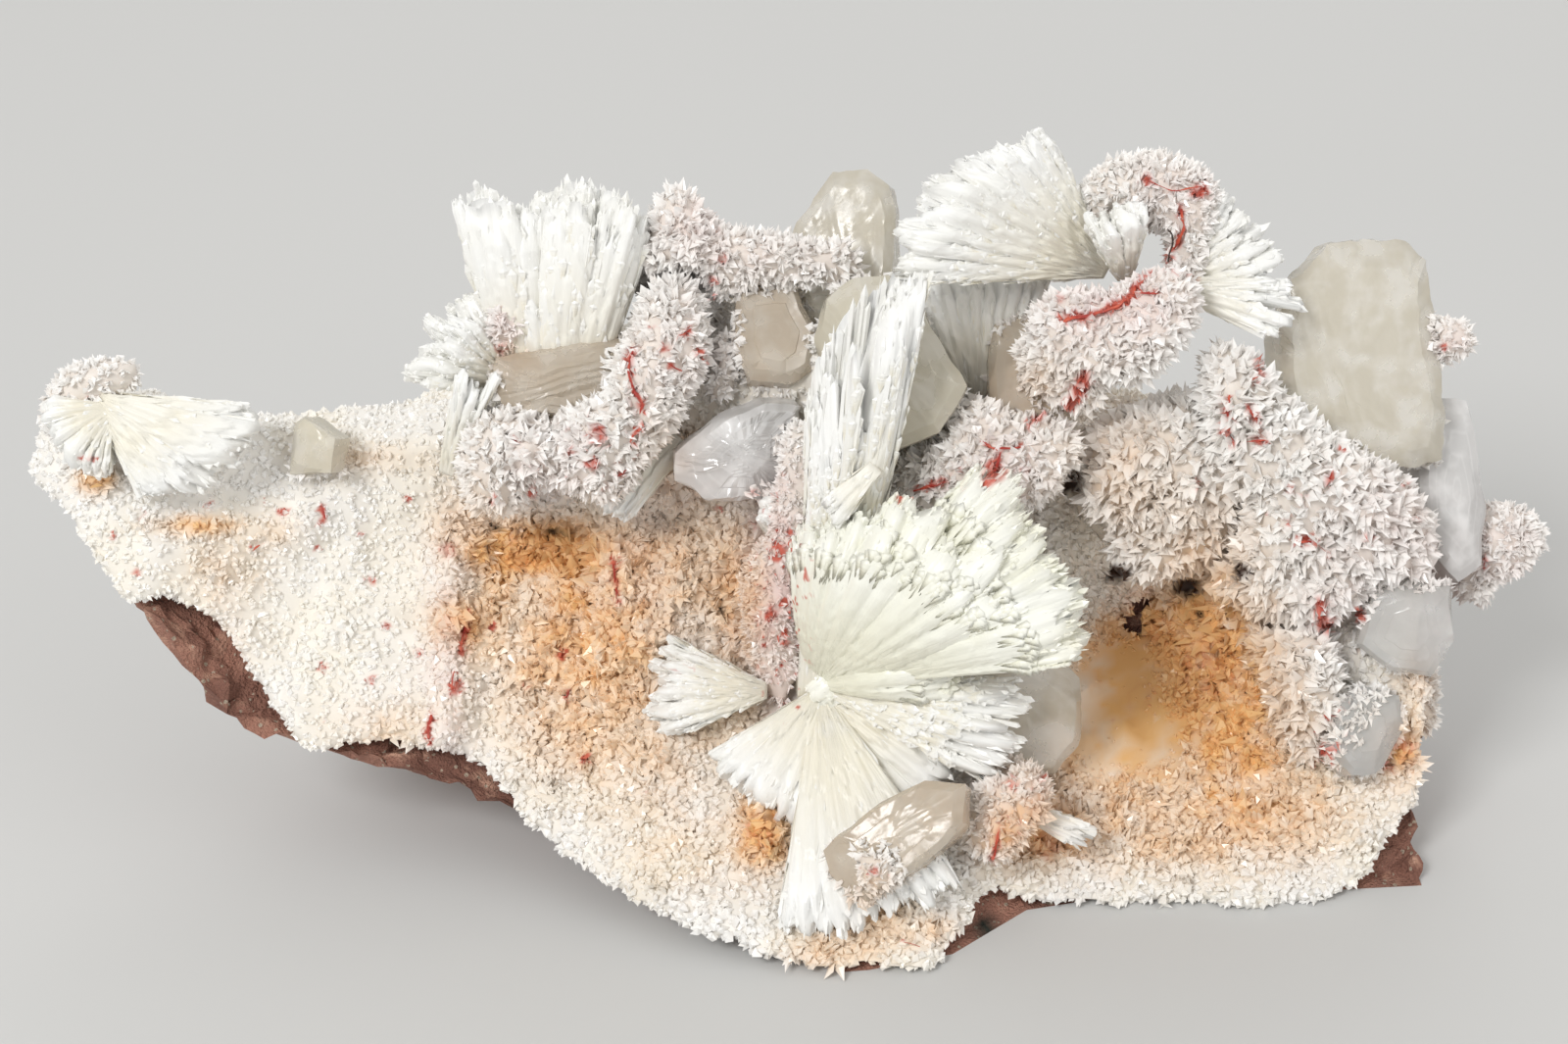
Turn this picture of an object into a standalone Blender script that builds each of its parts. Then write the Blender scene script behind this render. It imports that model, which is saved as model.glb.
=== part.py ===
"""Scolecite specimen: white needle sprays, translucent blocks and spiky coated growths on a
druse-lined basalt plate.

The specimen stands on the flat underside of its basalt. +Z is up and the crystal-lined face looks
towards -Y. The origin is on that underside, near the middle of the specimen's box. Lengths are
millimetres times MM. Most pieces are placed as they are seen from the front: so many millimetres
right of the middle of the view, so many up, at a depth y that is measured from front to back.
"""

import math
import random
from collections import namedtuple

import bmesh
import bpy
from mathutils import Matrix, Vector, noise
from mathutils.bvhtree import BVHTree

MM = 0.001

# The front view: its pitch below the horizon, its distance, and the height that it looks at.
VIEW_PITCH = math.radians(30)
VIEW_DISTANCE = 267.0
VIEW_HEIGHT = 40.0

# The plate of basalt. Each list gives a measure at stations along x, from the left tip to the
# right end: (x, measure).
PLATE_LEFT, PLATE_RIGHT = -75.5, 68.0
FRONT_LOWER_EDGE = [(-76, 43), (-72.5, 40), (-66, 28), (-57, 17), (-39, 12), (-30, 9), (-21, 5),
                    (-10, 3), (2, 1), (9, -1), (68, -1)]
BACK_LOWER_EDGE = [(-76, 48), (-66, 38), (-57, 27), (-45, 13), (-34, 1), (-28, -5), (68, -5)]
UPPER_EDGE = [(-76, 45.5), (-70, 46.5), (-60, 42), (-50, 39.5), (-42, 39.5), (-33, 41), (-22, 47),
              (-10, 50.5), (5, 51), (18, 45), (30, 40), (45, 40), (55, 42), (63, 38), (68, 27)]
FRONT_LIP_DEPTH = [(-76, 6), (-72.5, 3.5), (-66, -2), (-57, -5), (-39, -5.5), (-30, -6),
                   (-21, -11), (-10, -17.5), (2, -21.5), (13, -25), (20, -20), (27, -13),
                   (52, -12), (66, -9)]
WALL_RUN = [(-76, 8), (-66, 15), (-50, 24), (-30, 28), (0, 38), (13, 41), (27, 33), (45, 31),
            (60, 24), (68, 18)]
BACK_DEPTH = [(-76, 17), (-66, 16), (-50, 21), (-30, 27), (-10, 32), (0, 33), (30, 33), (55, 30),
              (68, 22)]
WALL_CURVE = 18.0
LEAST_THICKNESS = 7.0
TOP_BACK_LEAN = 5.0
BACK_EDGE_DROP = 2.0
ROCK_DIVISIONS = (17, 2, 5)
ROCK_ROUGHNESS = 1.3
ROCK_LUMP = 9.0
FRONT_ROUGHNESS_SHARE = 0.35

# Hollows in the wall: (right, up) in the view, half width, half height, depth.
HOLLOWS = [((38.0, -14.0), 11.0, 9.5, 10.0), ((-19.0, -2.0), 12.0, 5.0, 5.0),
           ((-6.0, 1.0), 7.0, 7.0, 4.0)]

# The druse that lines the plate, and how far the bare rock shows below it: (x, height).
CRUST_DIVISIONS = (16, 2, 5)
CRUST_THICKNESS = 3.0
CRUST_WRAP = 7.0
CRUST_TOP = 2.5
CRUST_LUMP = 6.0
CRUST_ROUGHNESS = Vector((0.3, 1.1, 0.3))
CRUST_FLOOR = 0.7
BARE_ROCK = [(-76, 0.0), (-67, 1.0), (-64.5, 7.0), (-57, 9.0), (-53, 2.0), (-47, 0.8),
             (-44, 3.5), (-34, 3.5), (-28, 2.0), (-24, 0.6), (17, 0.6), (19, 3.5), (22, 3.5),
             (24, 0.8), (58, 0.8), (64, 2.0), (68, 9.0)]
CRUST_SPIKE = (0.8, 1.9)
CRUST_SPIKED_SHARE = 0.24

# Growths: bodies of overlapping balls, covered in pointed crystals. A growth of balls as large as
# LARGE_BALL has voxels, faces and crystals of these sizes, and a smaller one has smaller ones.
LARGE_BALL = 4.6
GROWTH_VOXEL = 1.1
GROWTH_FACE_AREA = 12.0
GROWTH_SPIKE = (1.3, 2.6)
GROWTH_SPIKED_SHARE = 0.9
SPIKE_ALLOWANCE = 1.0
SPIKE_LEAN = 0.35
SPIKE_CLEARANCE = 0.4

# Pieces that meet keep GAP between them, and what cuts them is grown by CUT_GAP. No point lies
# deeper than DEEPEST in a piece that it is tested against.
GAP = 0.3
CUT_GAP = 0.4
DEEPEST = 9.0

BASALT = ("basalt", (0.235, 0.100, 0.070), 0.95)
DRUSE = ("druse", (0.78, 0.68, 0.52), 0.45)
GROWTH = ("spiky_growth", (0.84, 0.78, 0.76), 0.40)
SCOLECITE = ("scolecite", (0.92, 0.92, 0.88), 0.50)
TAN_CRYSTAL = ("tan_crystal", (0.62, 0.54, 0.42), 0.25)
GREY_CRYSTAL = ("grey_crystal", (0.62, 0.61, 0.57), 0.22)

# Translucent blocks: the middle (right, up, y), the outline about it as seen from the front, the
# thickness, the turn about the upright and the tilt in degrees, and the material.
Block = namedtuple("Block", "middle outline thickness yaw pitch kind")
CHAMFER_SHARE = 0.16
BLOCKS = {
    "right_block": Block(
        (59.0, 18.2, 15.0),
        [(-4.5, 10), (-1, 10.7), (3.5, 10.5), (5.8, 8.8), (6.5, 2), (8.3, -6), (8, -12), (-2, -14),
         (-9, -9), (-10, 2), (-8.5, 6.5)], 8.0, 8, 4, GREY_CRYSTAL),
    "right_lower_block": Block(
        (67.5, 3.7, 13.0),
        [(-2.3, 9.5), (1.2, 9), (2.2, 5.5), (3.4, -2.5), (3, -8.5), (0.5, -10.5), (-4, -6),
         (-4.5, 3)], 7.0, 14, 0, GREY_CRYSTAL),
    "back_peak_block": Block(
        (6.0, 28.5, 24.0),
        [(-0.5, 7.2), (3, 7.3), (5.2, 5.7), (5.8, 3), (5.5, -9), (-4, -9), (-6, -1.5), (-4.5, 2)],
        8.0, -8, 0, GREY_CRYSTAL),
    "back_ridge_block": Block(
        (-5.0, 25.5, 27.0),
        [(-5.5, 6.3), (-1, 4.8), (3, 3.5), (4.2, 2), (4.2, -7), (-5.5, -7), (-6.5, 2)],
        6.0, 6, 4, GREY_CRYSTAL),
    "window_block": Block(
        (-1.0, 18.4, 14.0),
        [(-3.9, 5.2), (2, 5.6), (4.3, 0.5), (3.7, -3.4), (1.2, -5.2), (-2.6, -4.6), (-4.2, -1.2)],
        7.0, 4, -6, TAN_CRYSTAL),
    "tan_wedge_block": Block(
        (9.5, 17.0, 9.0),
        [(-5.3, 6), (-2.5, 7.8), (1.2, 8.2), (4.5, 5), (9.2, -3.4), (6.5, -8), (-1, -11), (-5, -8),
         (-6.5, 2)], 6.0, -6, 0, TAN_CRYSTAL),
    "layered_block": Block(
        (-22.5, 15.0, 10.5),
        [(-7, 1.8), (-1.5, 3), (6.5, 4.3), (8.2, 2.2), (7.2, -3), (0.5, -4.5), (-5.5, -4),
         (-7.4, -1.5)], 6.5, 10, 8, TAN_CRYSTAL),
    "pearly_block": Block(
        (-4.8, 7.4, 5.5),
        [(-6.4, -0.4), (-1.7, 3.5), (2.3, 5.2), (6, 4.8), (6, -1.2), (2.8, -4.9), (-3.2, -4.9),
         (-6.2, -3.2)], 5.0, 12, 14, GREY_CRYSTAL),
    "front_wedge_block": Block(
        (11.4, -32.4, -17.5),
        [(-7.6, -1.6), (-1.2, 3.6), (3.3, 6.1), (7.3, 5.5), (7.3, 1.6), (2.8, -2.9), (-2.2, -6.4),
         (-6.7, -3.9)], 6.5, -14, -10, TAN_CRYSTAL),
    "grey_shelf_block": Block(
        (23.5, -18.4, -1.0),
        [(-7.5, 6.5), (-4, 7.8), (3, 6.8), (6.7, 2.8), (6.7, -4.5), (4, -7.5), (-2, -6.8),
         (-8, -0.5)], 5.5, 10, 6, GREY_CRYSTAL),
    "clear_block": Block(
        (63.3, -10.8, 1.5),
        [(-5, -1.5), (-3.5, 4), (0.5, 5.7), (4.5, 4.2), (5, -1), (2.7, -4.7), (-1.5, -4.2)],
        5.5, -10, 10, GREY_CRYSTAL),
    "icy_block": Block(
        (59.0, -21.6, -2.5),
        [(-3.4, 3.2), (-0.2, 5), (3.4, 4), (4.2, 0.3), (2, -3.9), (-2.2, -4.4), (-4.6, -1.2)],
        6.0, 8, -6, GREY_CRYSTAL),
    "back_shelf_block": Block(
        (24.5, 16.2, 13.0),
        [(-3.2, 4), (0.5, 5.8), (3.7, 5), (4.7, -6), (-3.5, -8), (-4, 0)],
        7.0, 0, 0, TAN_CRYSTAL),
    "left_facet_block": Block(
        (-47.5, 8.0, 9.0),
        [(-2, 2.3), (-0.7, 2.8), (2.8, 0.6), (2.2, -3), (-2.7, -3.2)],
        4.0, -20, 0, TAN_CRYSTAL),
}

# Fans of scolecite: the root and the tip (right, up, y), half the spread, half the thickness and
# the roll in degrees, blades across and through, how ragged the tips are, and how much longer the
# fan is on its left side, looking out from its root, than in the middle.
Fan = namedtuple("Fan", "root tip spread thick roll across through ragged slant")
SPRAYS = {
    "tall_sprays": {
        "tall": Fan((-23.3, 9.0, 14.5), (-23.0, 36.8, 16.5), 18, 10, 0, 7, 2, 0.10, 0.0),
        "left_tuft": Fan((-28.0, 14.5, 12.5), (-36.8, 20.9, 9.5), 34, 16, 0, 5, 1, 0.14, 0.0),
    },
    "sliver_spray": {
        "sliver": Fan((-34.3, 5.2, 8.0), (-30.9, 16.6, 6.5), 10, 6, 0, 3, 1, 0.2, 0.0),
    },
    "wing_sprays": {
        "wing": Fan((33.0, 25.4, 15.0), (14.5, 36.0, 11.0), 36, 9, 0, 10, 2, 0.09, 0.16),
        "wing_tuft": Fan((34.6, 25.2, 12.0), (33.4, 33.0, 9.5), 22, 16, 0, 3, 1, 0.15, 0.0),
        "wing_right": Fan((38.5, 24.2, 14.0), (50.0, 30.8, 12.5), 30, 12, 0, 6, 1, 0.11, 0.0),
        "wing_lower": Fan((39.0, 24.2, 11.5), (54.0, 20.8, 7.5), 15, 9, 0, 4, 1, 0.18, 0.0),
    },
    "curtain_spray": {
        "curtain": Fan((19.6, 10.4, 14.0), (17.4, 27.4, 15.0), 33, 8, 0, 8, 1, 0.06, 0.0),
    },
    "heart_sprays": {
        "bowl": Fan((4.0, -15.8, -1.5), (29.7, -1.4, -10.5), 17, 12, -8, 6, 2, 0.07, 0.0),
        "bowl_top": Fan((4.0, -15.8, -1.0), (12.0, 2.6, -6.5), 19, 13, -8, 5, 2, 0.07, -0.22),
        "bowl_low": Fan((4.2, -16.2, -2.0), (18.6, -13.8, -8.0), 12, 12, 0, 4, 1, 0.08, 0.1),
        "pillar": Fan((3.6, -16.5, 0.0), (9.4, 25.6, 0.0), 6.5, 6.0, 10, 4, 2, 0.10, -0.16),
        "low": Fan((4.2, -16.6, -2.0), (26.0, -22.4, -10.0), 13, 10, 0, 5, 2, 0.14, 0.0),
        "floor": Fan((3.8, -18.0, -2.5), (9.6, -42.6, -23.0), 20, 6, 0, 6, 1, 0.07, 0.0),
        "floor_left": Fan((3.6, -18.0, -2.3), (-4.3, -29.2, -11.6), 20, 8, 0, 4, 1, 0.08, 0.0),
        "floor_right": Fan((4.0, -18.0, -2.3), (18.2, -27.4, -9.0), 22, 8, 0, 4, 1, 0.07, 0.0),
        "puff": Fan((0.4, -17.2, -2.0), (-15.2, -16.8, -3.5), 19, 12, 0, 5, 1, 0.14, 0.0),
    },
    "splinter_spray": {
        "splinter": Fan((22.8, -28.6, -10.5), (32.2, -32.8, -13.5), 9, 8, 0, 3, 1, 0.2, 0.0),
    },
    "tip_spray": {
        "tip": Fan((-73.0, 12.4, 3.5), (-52.6, 5.4, 2.0), 25, 8, 0, 8, 2, 0.08, 0.0),
    },
    "pale_blade_spray": {
        "pale_blade": Fan((-10.6, 8.6, 9.0), (-18.3, -0.6, 4.5), 8, 6, 30, 3, 1, 0.15, 0.0),
    },
    "thin_blade_spray": {
        "thin_blade": Fan((0.6, -3.2, 3.0), (-2.2, 2.8, 1.5), 12, 8, 30, 3, 1, 0.2, 0.0),
    },
}

# The massive knots that the fans of a group grow from, as strings of balls (right, up, y, radius).
KNOTS = {
    "tall_sprays": [(-23.6, 13.0, 13.5, 3.2), (-28.6, 15.4, 12.0, 2.8)],
    "wing_sprays": [(33.0, 25.0, 14.5, 2.6), (35.8, 24.2, 12.5, 2.8), (39.4, 24.0, 12.5, 2.6)],
    "heart_sprays": [(4.6, -16.6, -1.3, 3.0), (1.2, -17.0, -1.5, 2.2)],
}
KNOT_FINENESS = 1.0

# A fan is solid for this share of its length. Its blades narrow to FAN_TAPER and end in points.
# Its faces are ribbed by FAN_RIDGE of its thickness, and it is thinner by FAN_EDGE at its sides.
FAN_BODY = 0.78
FAN_POINT = 0.04
FAN_TAPER = 0.72
FAN_RIDGE = 0.14
FAN_EDGE = 0.45

# Spiky growths: each limb is a string of balls (right, up, y, radius) through the places listed.
GROWTHS = {
    "left_cluster": [
        [(-20, 9, 14, 4.5), (-28, 7.6, 5, 5.6), (-29, 4, 4.5, 4.0)],
        [(-20, 9, 14, 4.5), (-19, 8.0, 4, 5.4), (-18.5, 4.5, 4, 3.6)],
        [(-20, 9, 14, 4.5), (-12.5, 16.4, 8, 5.4), (-15.5, 9.5, 6, 4.4)],
        [(-12.5, 16.4, 8, 5.4), (-11.5, 21.5, 11.5, 4.2)],
    ],
    "upper_ridge": [
        [(-9, 22, 20, 4.0), (-12, 26, 15, 4.6), (-10.8, 31.2, 16, 3.4)],
        [(-12, 26, 15, 4.6), (-5, 26.6, 16, 3.8), (1, 26.4, 16, 3.2), (6.5, 25.6, 15.5, 3.0)],
        [(-12, 26, 15, 4.6), (-7.6, 20, 11.5, 3.4), (-6.4, 13.5, 11, 2.6)],
    ],
    "centre_column": [
        [(1.0, 6, 8, 2.8), (2.0, 8.5, 2, 2.8), (0.6, -1, 0.5, 3.4), (-1.2, -9, -0.5, 4.0),
         (0.2, -17.5, 0.5, 3.8)],
    ],
    "centre_knob": [
        [(20, 4, 15, 5.0), (14.5, 4, 5, 4.4), (21, 6, 4, 5.8), (26.5, 7.2, 5, 4.8)],
        [(21, 6, 4, 5.8), (19.5, 11, 6.5, 3.0)],
    ],
    "vein_arch": [
        [(27, 13.5, 10, 3.4), (28.8, 19.6, 6.5, 4.4), (35, 19.0, 5.0, 5.2), (39.2, 22.6, 6.0, 3.9)],
        [(27, 13.5, 10, 3.4), (30.6, 13.2, 6.0, 2.9)],
    ],
    "top_arch": [
        [(31.2, 30.0, 17.5, 3.2), (32.6, 33.4, 16, 3.2), (36.6, 34.4, 15, 3.6), (41.6, 32.6, 14, 3.8),
         (42.0, 28.4, 13.5, 3.4), (41.0, 26.0, 11.5, 2.6)],
    ],
    "vug_hood": [
        [(38, 3, 22, 5.0), (33.5, 4.8, 9, 5.2), (40, 8.6, 8.5, 5.0), (43.6, 2, 8, 5.0),
         (37, -2.2, 8.5, 4.8)],
    ],
    "right_mass": [
        [(50, 4, 20, 6.0), (47, 10, 6, 5.2), (45.4, 15.6, 6, 3.6)],
        [(47, 10, 6, 5.2), (52.5, 4.6, 4.5, 6.2), (58.5, 2, 4.5, 6.2), (62.6, -3, 5.5, 5.0)],
        [(52.5, 4.6, 4.5, 6.2), (49.5, -4, 4, 5.6), (55.5, -5.5, 3.5, 5.4), (45.0, -5, 7, 3.6)],
    ],
    "right_foot": [
        [(53, -12, 8, 5.0), (52, -12, 1.5, 5.0), (53.6, -18, -0.5, 4.6), (54, -22.6, -2.5, 3.6)],
    ],
    "side_knob": [
        [(64.5, 18.2, 15, 2.2), (67.6, 18.6, 14, 3.2)],
    ],
    "right_point": [
        [(69.0, -4.0, 14, 3.4), (72.8, -1.6, 13, 4.4), (76.2, -1.4, 12.5, 2.4)],
        [(69.0, -4.0, 14, 3.4), (70.6, -6.4, 12.5, 2.6)],
    ],
    "vein_foot": [
        [(24, -27, -6, 3.0), (23.6, -26.8, -11.5, 4.4), (21.4, -31.0, -13.5, 4.2)],
    ],
    "wedge_cluster": [
        [(7.4, -38.4, -20.5, 2.6), (9.4, -35.4, -21.5, 3.1)],
    ],
    "tip_knobs": [
        [(-74.0, 9.4, 4, 2.2), (-72.0, 13.6, 4.5, 3.0), (-67.4, 14.6, 5.5, 2.6)],
    ],
    "pink_tuft": [
        [(-27.0, 17.0, 13, 2.6), (-28.6, 20.6, 11, 3.0)],
    ],
    "right_rim": [
        [(63.6, -14.5, 8, 3.0), (64.6, -20, 5.5, 2.8)],
    ],
}

# Ribs that stand out of the druse, joined to it: (right, up, how proud, radius).
CRUST_RIBS = [
    [(-33.6, -3.5, 1.5, 2.6), (-32.8, -10, 1.6, 2.7), (-34, -16, 1.4, 2.5), (-35.4, -22, 1.2, 2.4)],
    [(-17.6, -4, 1.2, 2.3), (-18.2, -13, 1.2, 2.3)],
    [(-11, -3, 1.0, 2.6), (-12.4, -12, 1.0, 2.4)],
    [(-3.0, -29, 1.4, 2.4), (-1.0, -33, 1.4, 2.2)],
    [(52, -31, 0.8, 2.6), (58, -31, 0.8, 2.6)],
]


def along(stations, x):
    """The measure at x, eased between the stations on either side of it."""
    if x <= stations[0][0]:
        return stations[0][1]
    for (x0, m0), (x1, m1) in zip(stations, stations[1:]):
        if x <= x1:
            t = (x - x0) / (x1 - x0)
            return m0 + (m1 - m0) * t
    return stations[-1][1]


def seen(right, up, y):
    """The point at depth y that the front view shows so far right of its middle and so far up."""
    ahead = Vector((0, math.cos(VIEW_PITCH), -math.sin(VIEW_PITCH)))
    upward = Vector((0, math.sin(VIEW_PITCH), math.cos(VIEW_PITCH)))
    eye = Vector((0, 0, VIEW_HEIGHT)) - VIEW_DISTANCE * ahead
    ray = ahead + Vector((1, 0, 0)) * right / VIEW_DISTANCE + upward * up / VIEW_DISTANCE
    return eye + ray * (y - eye.y) / ray.y


def plain_wall(x, z):
    """Depth of the plate's front face before its hollows: a lip that curves up into a steep wall."""
    rise = max(0.0, z - along(FRONT_LOWER_EDGE, x))
    return along(FRONT_LIP_DEPTH, x) + along(WALL_RUN, x) * (1 - math.exp(-rise / WALL_CURVE))


def on_surface(right, up, depth_at):
    """The point that the front view sees at (right, up) on a face whose depth is depth_at(x, z)."""
    y = 8.0
    for _ in range(40):
        p = seen(right, up, y)
        y = 0.5 * (y + depth_at(p.x, p.z))
    return seen(right, up, y)


HOLLOW_SPOTS = [(on_surface(*where, plain_wall), width, height, depth)
                for where, width, height, depth in HOLLOWS]


def front_face(x, z):
    """Depth of the plate's front face, hollows included."""
    y = plain_wall(x, z)
    for middle, width, height, depth in HOLLOW_SPOTS:
        y += depth * math.exp(-(((x - middle.x) / width) ** 2) - ((z - middle.z) / height) ** 2)
    return y


def on_druse(right, up, proud):
    """The point seen at (right, up) that stands so far in front of the druse."""
    return on_surface(right, up, lambda x, z: front_face(x, z) - CRUST_THICKNESS - proud)


def clear_scene():
    """Empties the scene and returns the collections for the pieces and for their cutters."""
    for obj in list(bpy.data.objects):
        bpy.data.objects.remove(obj)
    made = []
    for name in ("scolecite_specimen", "cutters"):
        collection = bpy.data.collections.new(name)
        bpy.context.scene.collection.children.link(collection)
        made.append(collection)
    return made


def material_of(kind):
    """The Principled material of a (name, colour, roughness) triple, made once."""
    name, colour, roughness = kind
    material = bpy.data.materials.get(name)
    if material is None:
        material = bpy.data.materials.new(name)
        material.use_nodes = True
        shader = material.node_tree.nodes["Principled BSDF"]
        shader.inputs["Base Color"].default_value = (*colour, 1)
        shader.inputs["Roughness"].default_value = roughness
        shader.inputs["Metallic"].default_value = 0.0
    return material


def add_object(name, mesh, kind, parent):
    """Puts a mesh in the scene as a named piece under the specimen's empty."""
    obj = bpy.data.objects.new(name, mesh)
    PIECES.objects.link(obj)
    obj.parent = parent
    mesh.materials.clear()
    mesh.materials.append(material_of(kind))
    return obj


def mesh_from(bm, name):
    """A mesh with the bmesh's shape. The bmesh is freed."""
    mesh = bpy.data.meshes.new(name)
    bm.to_mesh(mesh)
    bm.free()
    return mesh


def world_bmesh(obj):
    """A bmesh of the object's evaluated shape in world space."""
    bpy.context.view_layer.update()
    evaluated = obj.evaluated_get(bpy.context.evaluated_depsgraph_get())
    bm = bmesh.new()
    bm.from_mesh(evaluated.to_mesh())
    evaluated.to_mesh_clear()
    bm.transform(obj.matrix_world)
    return bm


def settle(obj):
    """Takes the shape that the object's modifiers give it as its own mesh, and drops the modifiers."""
    bpy.context.view_layer.update()
    graph = bpy.context.evaluated_depsgraph_get()
    mesh = bpy.data.meshes.new_from_object(obj.evaluated_get(graph))
    obj.modifiers.clear()
    obj.data = mesh


def keep_largest_body(obj):
    """Deletes the crumbs that a cut leaves, and triangulates what stays."""
    bm = bmesh.new()
    bm.from_mesh(obj.data)
    left, bodies = set(bm.verts), []
    while left:
        start = left.pop()
        body, edge = {start}, [start]
        while edge:
            for link in edge.pop().link_edges:
                for vert in link.verts:
                    if vert in left:
                        left.remove(vert)
                        body.add(vert)
                        edge.append(vert)
        bodies.append(body)
    largest = max(bodies, key=len)
    bmesh.ops.delete(bm, geom=[v for v in bm.verts if v not in largest], context="VERTS")
    bmesh.ops.triangulate(bm, faces=bm.faces)
    bm.to_mesh(obj.data)
    bm.free()


def hide_as_cutter(obj):
    """Moves an object from the pieces to the hidden cutters."""
    for collection in list(obj.users_collection):
        collection.objects.unlink(obj)
    CUTTERS.objects.link(obj)
    obj.hide_render = True
    obj.display_type = "WIRE"


def add_cutter(name, bm, grow):
    """A hidden solid, grown by some millimetres along its normals, that other pieces are cut by."""
    cutter = bpy.data.objects.new(name, mesh_from(bm, name))
    hide_as_cutter(cutter)
    swell = cutter.modifiers.new("swell", "DISPLACE")
    swell.strength = grow * MM
    swell.mid_level = 0.0
    settle(cutter)
    return cutter


def face_outwards(bm):
    """Turns the faces of a closed shape outwards."""
    bmesh.ops.recalc_face_normals(bm, faces=bm.faces)
    if bm.calc_volume(signed=True) < 0:
        bmesh.ops.reverse_faces(bm, faces=bm.faces)


def hull_cutter(obj):
    """A cutter in the shape of a piece's convex hull."""
    shape = world_bmesh(obj)
    bm = bmesh.new()
    for vert in shape.verts:
        bm.verts.new(vert.co)
    shape.free()
    bmesh.ops.convex_hull(bm, input=bm.verts)
    bmesh.ops.delete(bm, geom=[vert for vert in bm.verts if not vert.link_faces], context="VERTS")
    face_outwards(bm)
    return add_cutter(obj.name + "_hull", bm, CUT_GAP)


def tree_of(obj):
    """A search tree over an object's faces in world space."""
    bm = world_bmesh(obj)
    bmesh.ops.triangulate(bm, faces=bm.faces)
    tree = BVHTree.FromBMesh(bm)
    bm.free()
    return tree


def boxes_meet(a, b):
    """True if the world boxes of two objects overlap."""
    bpy.context.view_layer.update()
    corners = [[obj.matrix_world @ Vector(c) for c in obj.bound_box] for obj in (a, b)]
    lows = [[min(c[k] for c in box) for k in range(3)] for box in corners]
    highs = [[max(c[k] for c in box) for k in range(3)] for box in corners]
    return all(lows[0][k] < highs[1][k] and lows[1][k] < highs[0][k] for k in range(3))


def cut(obj, cutters):
    """Takes every cutter that reaches the piece away from it.

    The solver is MANIFOLD: the points of the crystals cross each other, and EXACT then returns
    an empty or an open shape.
    """
    reached = [c for c in cutters if boxes_meet(obj, c)]
    for cutter in reached:
        take = obj.modifiers.new("take_" + cutter.name, "BOOLEAN")
        take.operation = "DIFFERENCE"
        take.solver = "MANIFOLD"
        take.object = cutter
    settle(obj)
    keep_largest_body(obj)


def join(obj, others):
    """Joins overlapping pieces to the first as one solid. The others stay as hidden cutters."""
    for other in others:
        hide_as_cutter(other)
        meet = obj.modifiers.new("join_" + other.name, "BOOLEAN")
        meet.operation = "UNION"
        meet.solver = "MANIFOLD"
        meet.object = other
    settle(obj)


def divided_box(across, through, along_z):
    """A unit box from 0 to 1 each way, with that many divisions along x, y and z."""
    bm = bmesh.new()
    bmesh.ops.create_cube(bm, size=1.0, matrix=Matrix.Translation((0.5, 0.5, 0.5)))
    for axis, count in enumerate((across, through, along_z)):
        edges = [e for e in bm.edges if abs(e.verts[0].co[axis] - e.verts[1].co[axis]) > 0.5]
        if count > 1:
            bmesh.ops.subdivide_edges(bm, edges=edges, cuts=count - 1, use_grid_fill=True)
    return bm


def rough(point, size, seed):
    """A smooth random offset, -1 to 1 on each axis, that changes over the given size in millimetres."""
    place = point / size + Vector((17.3, 5.1, 9.7)) * seed
    return Vector([noise.noise(place + Vector((31.7, 11.9, 47.3)) * axis) for axis in range(3)])


def rock_bmesh():
    """The basalt plate: a divided box carried onto the outline, front face and back face."""
    bm = divided_box(*ROCK_DIVISIONS)
    for vert in bm.verts:
        u, v, w = vert.co
        x = PLATE_LEFT + (PLATE_RIGHT - PLATE_LEFT) * u
        undercut = v * v * (3 - 2 * v)
        low = along(FRONT_LOWER_EDGE, x) * (1 - undercut) + along(BACK_LOWER_EDGE, x) * undercut
        z = low + (along(UPPER_EDGE, x) - BACK_EDGE_DROP * v - low) * w
        back = along(BACK_DEPTH, x) - TOP_BACK_LEAN * w * w
        front = front_face(x, z)
        y = front + (max(back, front + LEAST_THICKNESS) - front) * v
        point = Vector((x, y, z))
        share = FRONT_ROUGHNESS_SHARE + (1 - FRONT_ROUGHNESS_SHARE) * v
        point += rough(point, ROCK_LUMP, 1) * ROCK_ROUGHNESS * share
        vert.co = point * MM
    return bm


def make_matrix(parent):
    """The basalt matrix, cut off flat where it stands."""
    bm = rock_bmesh()
    cuts = bmesh.ops.bisect_plane(bm, geom=bm.verts[:] + bm.edges[:] + bm.faces[:],
                                  plane_co=(0, 0, 0), plane_no=(0, 0, 1), clear_inner=True)
    rim = [g for g in cuts["geom_cut"] if isinstance(g, bmesh.types.BMEdge)]
    bmesh.ops.holes_fill(bm, edges=rim, sides=0)
    bmesh.ops.triangulate(bm, faces=bm.faces)
    face_outwards(bm)
    return add_object("basalt_matrix", mesh_from(bm, "basalt_matrix"), BASALT, parent)


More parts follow.
